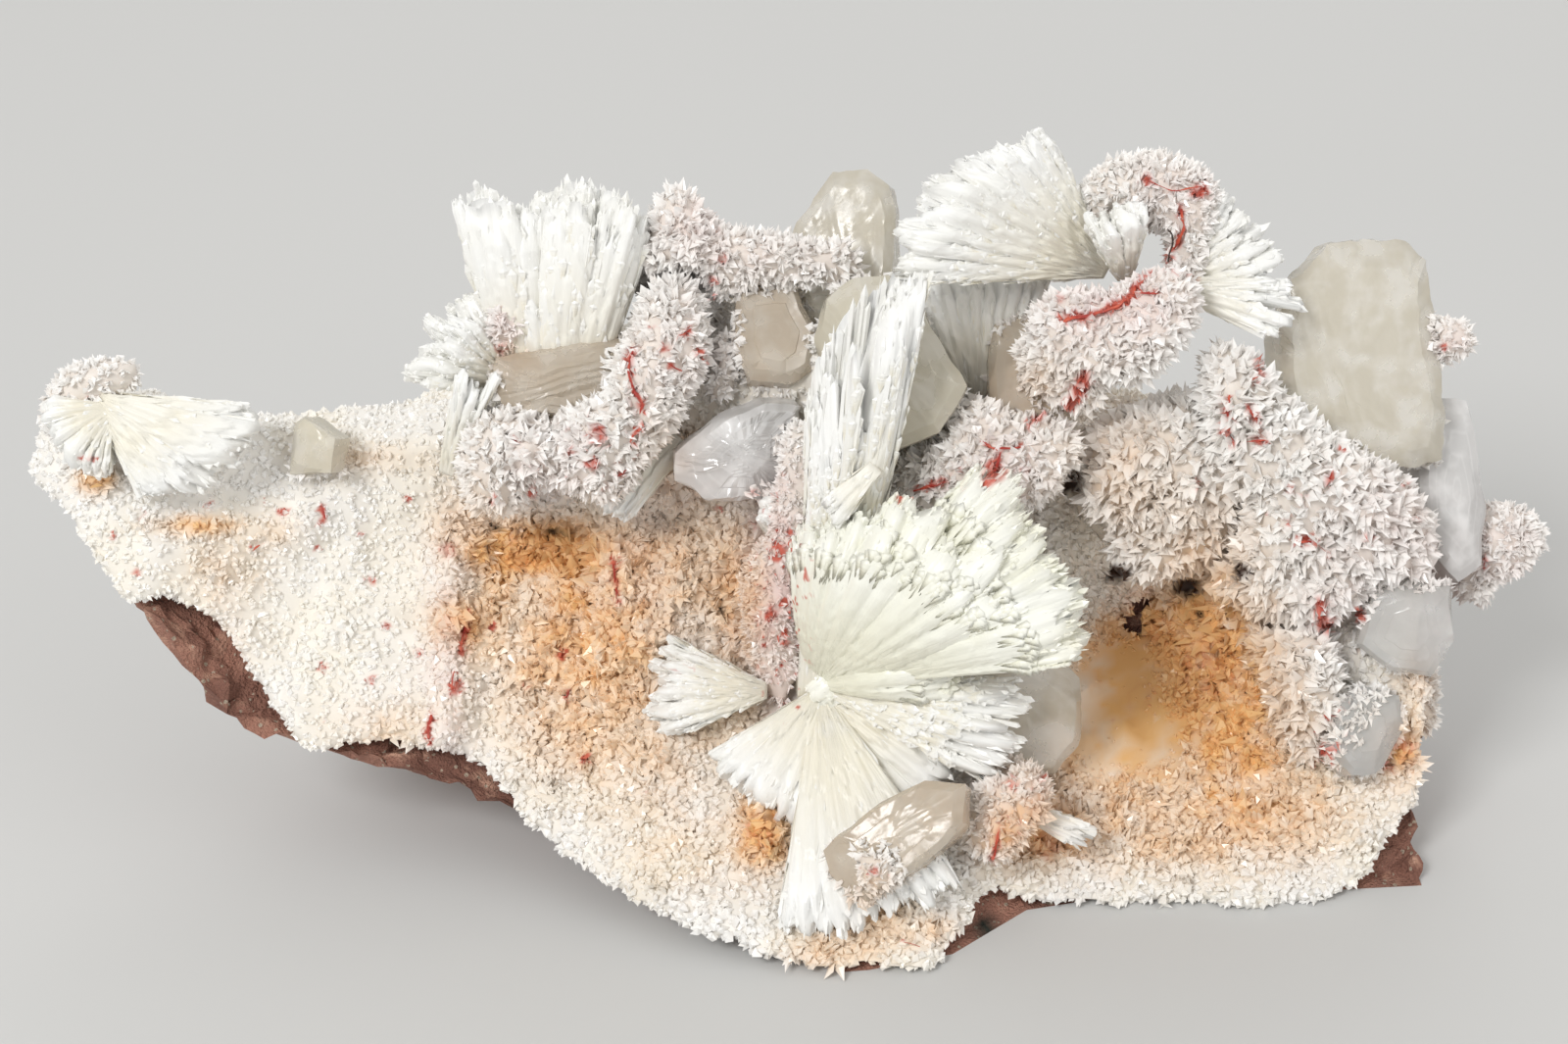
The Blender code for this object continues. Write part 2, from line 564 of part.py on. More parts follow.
def crust_bmesh():
    """The druse before its crystals: a sheet in front of the plate that wraps over its top edge."""
    bm = divided_box(*CRUST_DIVISIONS)
    front = [e for e in bm.edges if all(v.co.y < 1e-6 for v in e.verts)]
    bmesh.ops.subdivide_edges(bm, edges=front, cuts=1, use_grid_fill=True)
    for vert in bm.verts:
        u, v, w = vert.co
        x = PLATE_LEFT - 1.0 + (PLATE_RIGHT - PLATE_LEFT) * u
        low = max(along(FRONT_LOWER_EDGE, x), 0.0) + along(BARE_ROCK, x)
        z = low + (along(UPPER_EDGE, x) + CRUST_TOP - low) * w
        y = front_face(x, z) - CRUST_THICKNESS + (CRUST_THICKNESS + CRUST_WRAP) * v
        point = Vector((x, y, z))
        point += rough(point, CRUST_LUMP, 2) * CRUST_ROUGHNESS * (1 - v)
        vert.co = Vector((point.x, point.y, max(point.z, CRUST_FLOOR))) * MM
    return bm


def make_ribs():
    """The ribs that stand out of the druse, as one skin."""
    bm = bmesh.new()
    for rib in CRUST_RIBS:
        ball_string(bm, [(on_druse(right, up, proud), radius) for right, up, proud, radius in rib])
    ribs = bpy.data.objects.new("ribs", mesh_from(bm, "ribs"))
    hide_as_cutter(ribs)
    fuse(ribs, 1.0, 2 * GROWTH_FACE_AREA)
    return ribs


def ball_string(bm, limb, radius_change=0.0):
    """Overlapping balls from each place on the limb to the next."""
    for (place, radius), (goal, goal_radius) in zip(limb, limb[1:] + limb[-1:]):
        steps = max(1, math.ceil((goal - place).length / (0.5 * min(radius, goal_radius))))
        for i in range(steps):
            t = i / steps
            r = radius + (goal_radius - radius) * t + radius_change
            bmesh.ops.create_icosphere(bm, subdivisions=2, radius=r * MM,
                                       matrix=Matrix.Translation(place.lerp(goal, t) * MM))


def fuse(obj, fineness, face_area):
    """Joins overlapping balls into one skin. Its voxels and faces shrink with fineness, 1 at most."""
    skin = obj.modifiers.new("skin", "REMESH")
    skin.mode = "VOXEL"
    skin.voxel_size = GROWTH_VOXEL * fineness * MM
    relax = obj.modifiers.new("relax", "SMOOTH")
    relax.factor = 0.5
    relax.iterations = 3
    settle(obj)
    area = sum(polygon.area for polygon in obj.data.polygons) / MM**2
    thin = obj.modifiers.new("thin", "DECIMATE")
    thin.ratio = min(1.0, area / (face_area * fineness**2) / (2 * len(obj.data.polygons)))
    settle(obj)


def grow_spikes(obj, faces_pass, heights, share, seed):
    """Raises a pointed crystal on the faces that pass, by poking each and lifting its middle."""
    pick = random.Random(seed)
    bm = bmesh.new()
    bm.from_mesh(obj.data)
    bm.faces.ensure_lookup_table()
    chosen = [face for face in bm.faces if faces_pass(face) and pick.random() < share]
    tips = bmesh.ops.poke(bm, faces=chosen)["verts"]
    bm.normal_update()
    for tip in tips:
        lean = Vector([pick.uniform(-SPIKE_LEAN, SPIKE_LEAN) for _ in range(3)])
        tip.co += (tip.normal + lean).normalized() * pick.uniform(*heights) * MM
    bmesh.ops.triangulate(bm, faces=bm.faces)
    bm.to_mesh(obj.data)
    bm.free()


def far_from(trees, distance):
    """A test that is true for a point further than that many millimetres outside every tree's solid."""
    def passes(point):
        for tree in trees:
            near, normal, _, away = tree.find_nearest(point)
            inside = away < DEEPEST * MM and (point - near).dot(normal) < 0
            if inside or away < distance * MM:
                return False
        return True
    return passes


def make_block(name, parent):
    """A translucent crystal: a flat outline with thickness and chamfered rims, turned as it stands."""
    spec = BLOCKS[name]
    curve = bpy.data.curves.new(name, "CURVE")
    curve.dimensions = "2D"
    curve.fill_mode = "BOTH"
    chamfer = CHAMFER_SHARE * spec.thickness
    curve.extrude = (spec.thickness / 2 - chamfer) * MM
    curve.bevel_depth = chamfer * MM
    curve.bevel_resolution = 0
    curve.offset = -chamfer * MM
    spline = curve.splines.new("POLY")
    spline.points.add(len(spec.outline) - 1)
    for point, (a, b) in zip(spline.points, reversed(spec.outline)):
        point.co = (a * MM, b * MM, 0, 1)
    spline.use_cyclic_u = True
    flat = bpy.data.objects.new(name + "_outline", curve)
    CUTTERS.objects.link(flat)
    bpy.context.view_layer.update()
    graph = bpy.context.evaluated_depsgraph_get()
    mesh = bpy.data.meshes.new_from_object(flat.evaluated_get(graph))
    bpy.data.objects.remove(flat)
    bm = bmesh.new()
    bm.from_mesh(mesh)
    bmesh.ops.remove_doubles(bm, verts=bm.verts, dist=0.01 * MM)
    bmesh.ops.triangulate(bm, faces=bm.faces)
    face_outwards(bm)
    bm.to_mesh(mesh)
    bm.free()
    block = add_object(name, mesh, spec.kind, parent)
    facing = Matrix.Rotation(math.pi / 2 - VIEW_PITCH, 4, "X")
    turn = Matrix.Rotation(math.radians(spec.yaw), 4, "Y")
    tilt = Matrix.Rotation(math.radians(spec.pitch), 4, "X")
    block.location = seen(*spec.middle) * MM
    block.rotation_euler = (facing @ turn @ tilt).to_euler()
    return block


def make_fan(name, parent, fan):
    """A fan of fused needles: a wedge from its root, its far end drawn out into separate blades."""
    start, end = seen(*fan.root), seen(*fan.tip)
    length = (end - start).length
    pick = random.Random(name)
    bm = divided_box(fan.across, fan.through, 1)
    for vert in bm.verts:
        a, b, w = 2 * vert.co.x - 1, 2 * vert.co.y - 1, vert.co.z
        ridge = 1 + FAN_RIDGE * (-1) ** round(vert.co.x * fan.across)
        reach = length * FAN_BODY * (1 + fan.slant * a) * w
        swing = math.radians(fan.spread) * a
        lift = math.radians(fan.thick) * b * ridge * (1 - FAN_EDGE * a * a)
        ray = Vector((math.sin(swing), math.sin(lift), math.cos(swing) * math.cos(lift)))
        vert.co = ray * reach * MM
    bmesh.ops.remove_doubles(bm, verts=bm.verts, dist=0.001 * MM)
    half_way = 0.5 * FAN_BODY * length * MM
    end_faces = [f for f in bm.faces if all(v.co.length > half_way for v in f.verts)]
    blades = bmesh.ops.extrude_discrete_faces(bm, faces=end_faces)["faces"]
    for blade in blades:
        middle = blade.calc_center_median()
        grown = 1 - FAN_BODY - FAN_POINT - pick.uniform(0, fan.ragged)
        out = middle.normalized() * length * grown * MM
        for vert in blade.verts:
            vert.co = middle + (vert.co - middle) * FAN_TAPER + out
    bmesh.ops.poke(bm, faces=blades, offset=FAN_POINT * length * MM)
    bmesh.ops.triangulate(bm, faces=bm.faces)
    face_outwards(bm)
    spray = add_object(name, mesh_from(bm, name), SCOLECITE, parent)
    axis = (end - start).normalized()
    away = seen(0, 0, 1) - seen(0, 0, 0)
    across_axis = axis.cross(away).normalized()
    frame = Matrix((across_axis, axis.cross(across_axis), axis)).transposed().to_4x4()
    spray.location = start * MM
    spray.rotation_euler = (frame @ Matrix.Rotation(math.radians(fan.roll), 4, "Z")).to_euler()
    return spray


def make_knot(name, parent):
    """The massive knot at the roots of a group's fans."""
    bm = bmesh.new()
    ball_string(bm, [(seen(right, up, y), radius) for right, up, y, radius in KNOTS[name]])
    knot = add_object(name + "_knot", mesh_from(bm, name + "_knot"), SCOLECITE, parent)
    fuse(knot, KNOT_FINENESS, GROWTH_FACE_AREA)
    return knot


def make_sprays(name, parent, cutters):
    """The fans of one group, cut to their neighbours and joined with their knot.

    It returns their hulls.
    """
    fans, hulls = [], []
    for label, fan in SPRAYS[name].items():
        fans.append(make_fan(name if not fans else name + "_" + label, parent, fan))
    if name in KNOTS:
        fans.append(make_knot(name, parent))
    for fan in fans:
        cut(fan, cutters)
        hulls.append(hull_cutter(fan))
    join(fans[0], fans[1:])
    keep_largest_body(fans[0])
    return hulls


def make_growth(name, parent, cutters, solid_trees):
    """A body of fused balls set with pointed crystals and cut to its neighbours.

    It returns the growth, its body as a cutter, and a cutter that takes in its crystals.
    """
    limbs = [[(seen(right, up, y), radius) for right, up, y, radius in limb] for limb in GROWTHS[name]]
    radii = [radius for limb in limbs for _, radius in limb]
    fineness = min(1.0, sum(radii) / len(radii) / LARGE_BALL)
    bm = bmesh.new()
    for limb in limbs:
        ball_string(bm, limb, -SPIKE_ALLOWANCE * fineness)
    growth = add_object(name, mesh_from(bm, name), GROWTH, parent)
    fuse(growth, fineness, GROWTH_FACE_AREA)
    body = add_cutter(name + "_body", world_bmesh(growth), CUT_GAP)
    heights = [height * fineness for height in GROWTH_SPIKE]
    clear = far_from(solid_trees, heights[1] + SPIKE_CLEARANCE)
    grow_spikes(growth, lambda face: clear(face.calc_center_median()), heights,
                GROWTH_SPIKED_SHARE, name)
    cut(growth, cutters)
    reach = bmesh.new()
    for limb in limbs:
        ball_string(reach, limb, heights[1] + GAP - SPIKE_ALLOWANCE * fineness)
    shell = bpy.data.objects.new(name + "_reach", mesh_from(reach, name + "_reach"))
    hide_as_cutter(shell)
    fuse(shell, fineness, 2 * GROWTH_FACE_AREA)
    return growth, body, shell


def make_bare_crust():
    """The druse and its ribs before the crystals are raised on them, kept with the cutters."""
    bare_crust = bpy.data.objects.new("bare_crust", mesh_from(crust_bmesh(), "bare_crust"))
    hide_as_cutter(bare_crust)
    join(bare_crust, [make_ribs()])
    keep_largest_body(bare_crust)
    return bare_crust


def make_crust(parent, bare_crust, rock, rock_tree, neighbour_trees):
    """The druse, with pointed crystals where it shows and no piece stands close to it."""
    crust = add_object("druse_crust", bare_crust.data.copy(), DRUSE, parent)
    clear = far_from(neighbour_trees, CRUST_SPIKE[1] + SPIKE_CLEARANCE)
    out_of_rock = far_from([rock_tree], GAP)

    def outer(face):
        """True for faces on the side of the crust that shows."""
        middle = face.calc_center_median()
        faces_front = face.normal.y < 0.2 and face.normal.z > -0.3
        return faces_front and out_of_rock(middle) and clear(middle)

    grow_spikes(crust, outer, CRUST_SPIKE, CRUST_SPIKED_SHARE, "crust")
    cut(crust, [rock])


def make_specimen():
    """Builds every piece, the hard crystals first, so that softer ones give way to them."""
    parent = bpy.data.objects.new("specimen", None)
    PIECES.objects.link(parent)
    matrix = make_matrix(parent)
    rock = add_cutter("rock", world_bmesh(matrix), CUT_GAP)
    bare_crust = make_bare_crust()
    ground = add_cutter("ground_crust", world_bmesh(bare_crust), CUT_GAP)
    carriers = [rock, ground]

    hulls = []
    for name in SPRAYS:
        hulls += make_sprays(name, parent, carriers + hulls)
    for name in BLOCKS:
        block = make_block(name, parent)
        cut(block, carriers + hulls)
        hulls.append(hull_cutter(block))

    carrier_trees = [tree_of(matrix), tree_of(bare_crust)]
    hull_trees = [tree_of(hull) for hull in hulls]
    bodies, reaches = [], []
    for name in GROWTHS:
        trees = carrier_trees + hull_trees + [tree_of(body) for body in bodies]
        growth, body, reach = make_growth(name, parent, carriers + hulls + reaches, trees)
        bodies.append(body)
        reaches.append(reach)

    neighbours = hull_trees + [tree_of(body) for body in bodies]
    make_crust(parent, bare_crust, rock, carrier_trees[0], neighbours)


PIECES, CUTTERS = clear_scene()
make_specimen()
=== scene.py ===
"""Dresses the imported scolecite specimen.

Each solid of the frame is stood for by a finer piece in the same place: rock with grain and pits,
a druse and growths set with thousands of small pointed crystals, sprays of overlapping plates and
needles, and translucent blocks with growth lines. Lengths are millimetres in the arrays and metres
in the meshes. Many places are given as the front view shows them: so many millimetres right of its
middle, so many up, and a depth y.
"""

import logging
import math
from dataclasses import dataclass, field, replace
from enum import Enum

import bmesh
import bpy
import numpy as np
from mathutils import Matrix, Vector
from mathutils.bvhtree import BVHTree


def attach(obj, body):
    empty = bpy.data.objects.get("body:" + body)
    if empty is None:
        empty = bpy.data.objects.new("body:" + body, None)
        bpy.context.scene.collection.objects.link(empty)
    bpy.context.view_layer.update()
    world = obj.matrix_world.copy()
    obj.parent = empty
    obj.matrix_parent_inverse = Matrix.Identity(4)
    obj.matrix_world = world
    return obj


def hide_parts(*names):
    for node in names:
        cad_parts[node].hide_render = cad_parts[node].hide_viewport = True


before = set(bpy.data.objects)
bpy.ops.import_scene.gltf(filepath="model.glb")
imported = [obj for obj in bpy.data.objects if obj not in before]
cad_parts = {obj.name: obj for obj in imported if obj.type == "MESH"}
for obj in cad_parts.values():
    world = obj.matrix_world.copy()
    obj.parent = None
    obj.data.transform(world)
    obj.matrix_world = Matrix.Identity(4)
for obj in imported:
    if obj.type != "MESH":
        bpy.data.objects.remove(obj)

log = logging.getLogger("scolecite")

Array = np.ndarray
Colour = tuple[float, float, float]
Place = tuple[float, float, float]
Spot = tuple[float, float]
Patch = tuple[Spot, float, float, float]

MM = 0.001
BODY = "root"
TAU = 2 * math.pi
MARKS = ("along", "across", "tone", "honey", "blush", "red", "pit_shade")


class Slot(Enum):
    """The material slots' names, one for each block."""

    BASALT = "basalt"
    DRUSE = "druse"
    GROWTH = "spiky_growth"
    SCOLECITE = "scolecite"
    TAN = "tan_crystal"
    GREY = "grey_crystal"


# The front view.


@dataclass(frozen=True)
class FrontView:
    """The camera's place and the picture plane that most pieces are laid out on."""

    pitch: float = math.radians(30)
    distance: float = 267.0
    height: float = 40.0
    lens: float = 60.075
    sensor: float = 36.0

    def axes(self) -> tuple[Array, Array, Array]:
        """Works out how the camera looks.

        Returns:
            The eye in millimetres, the direction ahead and the direction up.
        """
        ahead = np.array([0, math.cos(self.pitch), -math.sin(self.pitch)])
        upward = np.array([0, math.sin(self.pitch), math.cos(self.pitch)])
        return np.array([0, 0, self.height]) - self.distance * ahead, ahead, upward

    def place(self, right: float, up: float, y: float) -> Array:
        """Finds a point by where it shows: eye + ray × (y - the eye's y) / the ray's y.

        Args:
            right: millimetres right of the view's middle.
            up: millimetres up from it.
            y: the point's depth.

        Returns:
            The point, in millimetres.
        """
        eye, ahead, upward = self.axes()
        ray = ahead + np.array([1, 0, 0]) * right / self.distance + upward * up / self.distance
        return eye + ray * (y - eye[1]) / ray[1]

    def picture(self, points: Array) -> Array:
        """Finds where points show, by dividing by the depth along the view.

        Args:
            points: the points, in millimetres.

        Returns:
            How far right and up each shows.
        """
        eye, ahead, upward = self.axes()
        away = points - eye
        depth = away @ ahead
        return np.stack([away[:, 0], away @ upward], 1) * (self.distance / depth)[:, None]

    def add_camera(self) -> None:
        """Puts the camera in the scene."""
        eye, _, _ = self.axes()
        camera = bpy.data.cameras.new("front_camera")
        camera.lens = self.lens
        camera.sensor_width = self.sensor
        camera.clip_start = 0.01
        holder = bpy.data.objects.new("front_camera", camera)
        holder.location = Vector(eye * MM)
        holder.rotation_euler = (math.pi / 2 - self.pitch, 0, 0)
        bpy.context.scene.collection.objects.link(holder)
        bpy.context.scene.camera = holder


VIEW = FrontView()


# Noise.

# Large odd numbers that scramble a cell's place and seed, with the shifts of the two rounds.
AXIS_MIXERS = (73856093, 19349663, 83492791)
SEED_MIXER = 2654435761
ROUNDS = ((15, 2246822519), (13, 3266489917))
LOW_BITS = np.uint64(0xFFFFFFFF)


def lattice_values(cells: Array, seed: int) -> Array:
    """One fixed value from -1 to 1 for each whole-numbered cell, by mixing the bits of its place.

    Args:
        cells: whole numbers, three for each cell.
        seed: a number that picks another set of values.

    Returns:
        The values, one for each cell.
    """
    whole = cells.astype(np.int64).astype(np.uint64)
    x, y, z = (whole[..., k] * np.uint64(mixer) for k, mixer in enumerate(AXIS_MIXERS))
    mixed = (x ^ y ^ z ^ np.uint64(seed * SEED_MIXER)) & LOW_BITS
    for shift, mixer in ROUNDS:
        mixed = ((mixed ^ (mixed >> np.uint64(shift))) * np.uint64(mixer)) & LOW_BITS
    return (mixed ^ (mixed >> np.uint64(16))).astype(float) / 2**31 - 1


def smooth_noise(points: Array, size: float, seed: int) -> Array:
    """Noise from -1 to 1: the lattice values of the eight corners, blended with 3t² - 2t³.

    Args:
        points: places in millimetres.
        size: the lattice's step in millimetres.
        seed: picks another noise.

    Returns:
        One value for each point.
    """
    scaled = points / size
    cell = np.floor(scaled)
    ease = scaled - cell
    ease = ease * ease * (3 - 2 * ease)
    total = np.zeros(len(points))
    for corner in np.ndindex(2, 2, 2):
        weight = np.prod(np.where(np.array(corner), ease, 1 - ease), axis=1)
        total += weight * lattice_values(cell + np.array(corner), seed)
    return total


def layered_noise(points: Array, size: float, layers: int, seed: int) -> Array:
    """Sum of noises, each with half the size and half the height of the last.

    Args:
        points: places in millimetres.
        size: the step of the first.
        layers: how many there are.
        seed: picks the first, and the others follow it.

    Returns:
        One value for each point.
    """
    total = np.zeros(len(points))
    for layer in range(layers):
        total += smooth_noise(points, size / 2**layer, seed + layer) / 2**layer
    return total


def noise_pair(points: Array, size: float, seeds: tuple[int, int], layers: int = 1) -> Array:
    """Two layered noises side by side, for a shift right and up: see layered_noise."""
    return np.stack([layered_noise(points, size, layers, seed) for seed in seeds], 1)


# Shells of triangles.


@dataclass
class Shell:
    """Triangles: points in millimetres, corners, marks of each point and the look of each face."""

    points: Array
    triangles: Array
    marks: dict[str, Array] = field(default_factory=dict)
    finish: int = 0
    smooth: bool = False

    def normals(self) -> Array:
        """Sums the normals of each point's triangles.

        Returns:
            The sums, each made one long.
        """
        a, b, c = (self.points[self.triangles[:, k]] for k in range(3))
        faces = np.cross(b - a, c - a)
        total = np.zeros_like(self.points)
        for k in range(3):
            np.add.at(total, self.triangles[:, k], faces)
        return unit(total)

    def tree(self) -> BVHTree:
        """A search tree over the triangles."""
        return BVHTree.FromPolygons(self.points.tolist(), self.triangles.tolist())

    def mark(self, name: str) -> Array:
        """The values of a mark, nought where none were given."""
        return self.marks.get(name, np.zeros(len(self.points)))


def unit(vectors: Array) -> Array:
    """The vectors, each made one long."""
    return vectors / np.maximum(np.linalg.norm(vectors, axis=-1, keepdims=True), 1e-12)


def stacked(shells: list[Shell]) -> Shell:
    """Several shells as one, without their marks.

    Args:
        shells: the shells.

    Returns:
        All their points, and their triangles with the corners counted on from shell to shell.
    """
    starts = np.cumsum([0] + [len(shell.points) for shell in shells])
    corners = [shell.triangles + start for shell, start in zip(shells, starts)]
    return Shell(np.concatenate([shell.points for shell in shells]), np.concatenate(corners))


def piece_from(name: str, shells: list[Shell], finishes: list[bpy.types.Material],
               replaces: tuple[str, ...] = (), crease: float | None = None) -> bpy.types.Object:
    """Joins shells in one mesh, hands it to the frame and reports it.

    Args:
        name: the piece's name.
        shells: the shells, each with the number of its finish.
        finishes: the materials that the numbers stand for.
        replaces: the solids that it stands for.
        crease: the angle in degrees from which an edge of a smooth shell stays sharp, if any does.

    Returns:
        The object.
    """
    whole = stacked(shells)
    points = whole.points * MM
    points[:, 2] = np.maximum(points[:, 2], 0)
    corners = whole.triangles
    counts = [len(shell.triangles) for shell in shells]
    mesh = bpy.data.meshes.new(name)
    mesh.vertices.add(len(points))
    mesh.vertices.foreach_set("co", points.astype(np.float32).ravel())
    mesh.loops.add(3 * len(corners))
    mesh.loops.foreach_set("vertex_index", corners.astype(np.int32).ravel())
    mesh.polygons.add(len(corners))
    mesh.polygons.foreach_set("loop_start", np.arange(0, 3 * len(corners), 3, dtype=np.int32))
    looks = np.repeat([shell.finish for shell in shells], counts).astype(np.int32)
    rounded = np.repeat([shell.smooth for shell in shells], counts)
    for finish in finishes:
        mesh.materials.append(finish)
    mesh.polygons.foreach_set("material_index", looks)
    mesh.polygons.foreach_set("use_smooth", rounded)
    for mark in MARKS:
        values = np.concatenate([shell.mark(mark) for shell in shells]).astype(np.float32)
        mesh.attributes.new(mark, "FLOAT", "POINT").data.foreach_set("value", values)
    mesh.validate()
    mesh.update(calc_edges=True)
    if crease is not None:
        mesh.set_sharp_from_angle(angle=math.radians(crease))
    piece = bpy.data.objects.new(name, mesh)
    bpy.context.scene.collection.objects.link(piece)
    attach(piece, BODY)
    if replaces:
        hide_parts(*replaces)
    log.info("%s: %d triangles", name, len(corners))
    return piece


def shell_of(mesh: bpy.types.Mesh) -> Shell:
    """Reads a mesh as triangles.

    Args:
        mesh: the mesh, in metres.

    Returns:
        Its triangles, in millimetres.
    """
    points = np.empty(3 * len(mesh.vertices), np.float32)
    mesh.vertices.foreach_get("co", points)
    mesh.calc_loop_triangles()
    corners = np.empty(3 * len(mesh.loop_triangles), np.int32)
    mesh.loop_triangles.foreach_get("vertices", corners)
    return Shell(points.reshape(-1, 3).astype(float) / MM, corners.reshape(-1, 3), smooth=True)


def merged_copy(node: str) -> bpy.types.Object:
    """Copies a solid of the frame with its loose triangles merged, for modifiers to work on.

    Args:
        node: the solid's name.

    Returns:
        The copy.
    """
    copy = bpy.data.objects.new("copy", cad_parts[node].data.copy())
    bpy.context.scene.collection.objects.link(copy)
    merged = bmesh.new()
    merged.from_mesh(copy.data)
    bmesh.ops.remove_doubles(merged, verts=merged.verts, dist=0.001 * MM)
    merged.to_mesh(copy.data)
    merged.free()
    return copy


def worked_out(copy: bpy.types.Object) -> Shell:
    """Takes the triangles that a copy's modifiers leave, and removes the copy.

    Args:
        copy: the object with its modifiers.

    Returns:
        The triangles, in millimetres.
    """
    bpy.context.view_layer.update()
    depsgraph = bpy.context.evaluated_depsgraph_get()
    mesh = bpy.data.meshes.new_from_object(copy.evaluated_get(depsgraph))
    shell = shell_of(mesh)
    bpy.data.meshes.remove(mesh)
    bpy.data.objects.remove(copy)
    return shell


def skin_of(node: str, voxel: float, rounds: int, swell: float = 0.0) -> Shell:
    """A solid of the frame as one fine even skin, its sharp crystals worn down.

    Args:
        node: the solid's name.
        voxel: the size of the skin's squares in millimetres.
        rounds: how often each point moves half way to the middle of its neighbours.
        swell: how far the solid is first blown up, so that thin places of a crust stay whole.

    Returns:
        The skin, in millimetres.
    """
    worn = merged_copy(node)
    if swell:
        blown = worn.modifiers.new("blown", "DISPLACE")
        blown.mid_level = 0.0
        blown.strength = swell * MM
    even = worn.modifiers.new("even", "REMESH")
    even.mode = "VOXEL"
    even.voxel_size = voxel * MM
    relax = worn.modifiers.new("relax", "SMOOTH")
    relax.factor = 0.5
    relax.iterations = rounds
    return worked_out(worn)


def neighbours_of(own: str) -> BVHTree:
    """A search tree over every solid of the frame but the one named, in millimetres."""
    solids = [shell_of(node.data) for name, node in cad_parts.items() if name != own]
    return stacked(solids).tree()


def distance_to(tree: BVHTree, places: Array) -> Array:
    """How far each place is from the surface in a search tree, which takes one place at a time."""
    return np.array([tree.find_nearest(place)[3] for place in places.tolist()])


def grid_shell(points: Array, rows: int, around: int) -> Shell:
    """A closed surface from a grid: rings of points, each end closed by a fan to its middle.

    Args:
        points: the grid's points, row after row.
        rows: the number of rings.
        around: the points in a ring.

    Returns:
        The surface, with faces that look outwards if the rings turn to the left going up.
    """
    row, place = np.meshgrid(np.arange(rows - 1), np.arange(around), indexing="ij")
    after = (place + 1) % around
    a, b = row * around + place, row * around + after
    c, d = b + around, a + around
    sides = np.concatenate([np.stack([a, b, c], -1), np.stack([a, c, d], -1)]).reshape(-1, 3)
    low, high = rows * around, rows * around + 1
    ring = np.arange(around)
    nearer = np.stack([np.full(around, low), (ring + 1) % around, ring], 1)
    top = (rows - 1) * around
    further = np.stack([np.full(around, high), top + ring, top + (ring + 1) % around], 1)
    ends = np.stack([points[:around].mean(0), points[top:].mean(0)])
    return Shell(np.concatenate([points, ends]), np.concatenate([sides, nearer, further]))


# Crystals.

# The points and the faces of one crystal.
EACH, FACETS = 6, 8

# How many places are drawn for each one that is kept.
DRAWS = 7


@dataclass(frozen=True)
class Habit:
    """How a crystal is shaped, in shares of its length and width.

    The shoulder's height varies by a share. The broad side strays from the way that it faces.
    """

    shoulder: float = 0.5
    flatness: float = 0.6
    skew: float = 0.12
    varied: float = 0.15
    highest: float = 0.97
    stray: float = 0.25


PETAL = Habit(shoulder=0.42, flatness=0.38, skew=0.2)
GRAIN = Habit(shoulder=0.6, flatness=0.7, skew=0.3)
NEEDLE = Habit(shoulder=0.93, flatness=0.8, skew=0.3)
BLADE = Habit(shoulder=0.8, flatness=0.4, skew=0.4)


def crystals(roots: Array, axes: Array, lengths: Array, widths: Array, habit: Habit,
             rng: np.random.Generator, facing: Array | None = None) -> Shell:
    """Pointed crystals: each widens from its root to a four-sided shoulder and ends in a point.

    The shoulder is root + axis × height + width × (cos, flatness × sin) of four quarter turns.
    The point stands above the shoulder, a little to one side.

    Args:
        roots: where each crystal starts.
        axes: the way that each points, one long.
        lengths: its length.
        widths: its greatest width.
        habit: its shape.
        rng: draws its turn about its axis, its lean and its tone.
        facing: the way that its broad side looks, or any way where none is given.

    Returns:
        All the crystals as one shell, flat shaded, with along and tone marked.
    """
    count = len(roots)
    spare = unit(rng.normal(size=(count, 3)))
    side = unit(np.cross(axes, spare if facing is None else facing + habit.stray * spare))
    other = np.cross(axes, side)
    quarter = np.arange(4) * math.pi / 2
    ring = side[:, None] * np.cos(quarter)[None, :, None]
    ring = ring + other[:, None] * (habit.flatness * np.sin(quarter))[None, :, None]
    half = (widths / 2)[:, None, None]
    shoulder_at = habit.shoulder * (1 + habit.varied * rng.uniform(-1, 1, count))
    middle = roots + axes * (lengths * np.minimum(shoulder_at, habit.highest))[:, None]
    shoulder = middle[:, None] + ring * half
    lean = side * (habit.skew * widths * rng.uniform(-1, 1, count))[:, None]
    point = (roots + axes * lengths[:, None] + lean)[:, None]
    points = np.concatenate([roots[:, None], shoulder, point], 1).reshape(-1, 3)
    corner = np.arange(4) + 1
    after = np.roll(corner, -1)
    pattern = np.concatenate([
        np.stack([np.zeros(4, int), after, corner], 1),
        np.stack([corner, after, np.full(4, EACH - 1)], 1),
    ])
    along = np.tile(np.concatenate([[0.0], np.full(4, habit.shoulder), [1.0]]), count)
    tone = np.repeat(rng.uniform(-1, 1, count), EACH)
    return Shell(points, repeated(pattern, count), {"along": along, "tone": tone})


def repeated(pattern: Array, count: int) -> Array:
    """One crystal's triangles, repeated for a crowd of so many."""
    return (pattern[None] + EACH * np.arange(count)[:, None, None]).reshape(-1, 3)


def pick_crystals(crowd: Shell, kept: Array) -> Shell:
    """Picks some crystals of a crowd.

    Args:
        crowd: the crystals.
        kept: true for each crystal that is kept.

    Returns:
        Those, with their marks and look.
    """
    every = np.repeat(kept, EACH)
    marks = {name: values[every] for name, values in crowd.marks.items()}
    triangles = repeated(crowd.triangles[:FACETS], int(kept.sum()))
    return Shell(crowd.points[every], triangles, marks, crowd.finish, crowd.smooth)


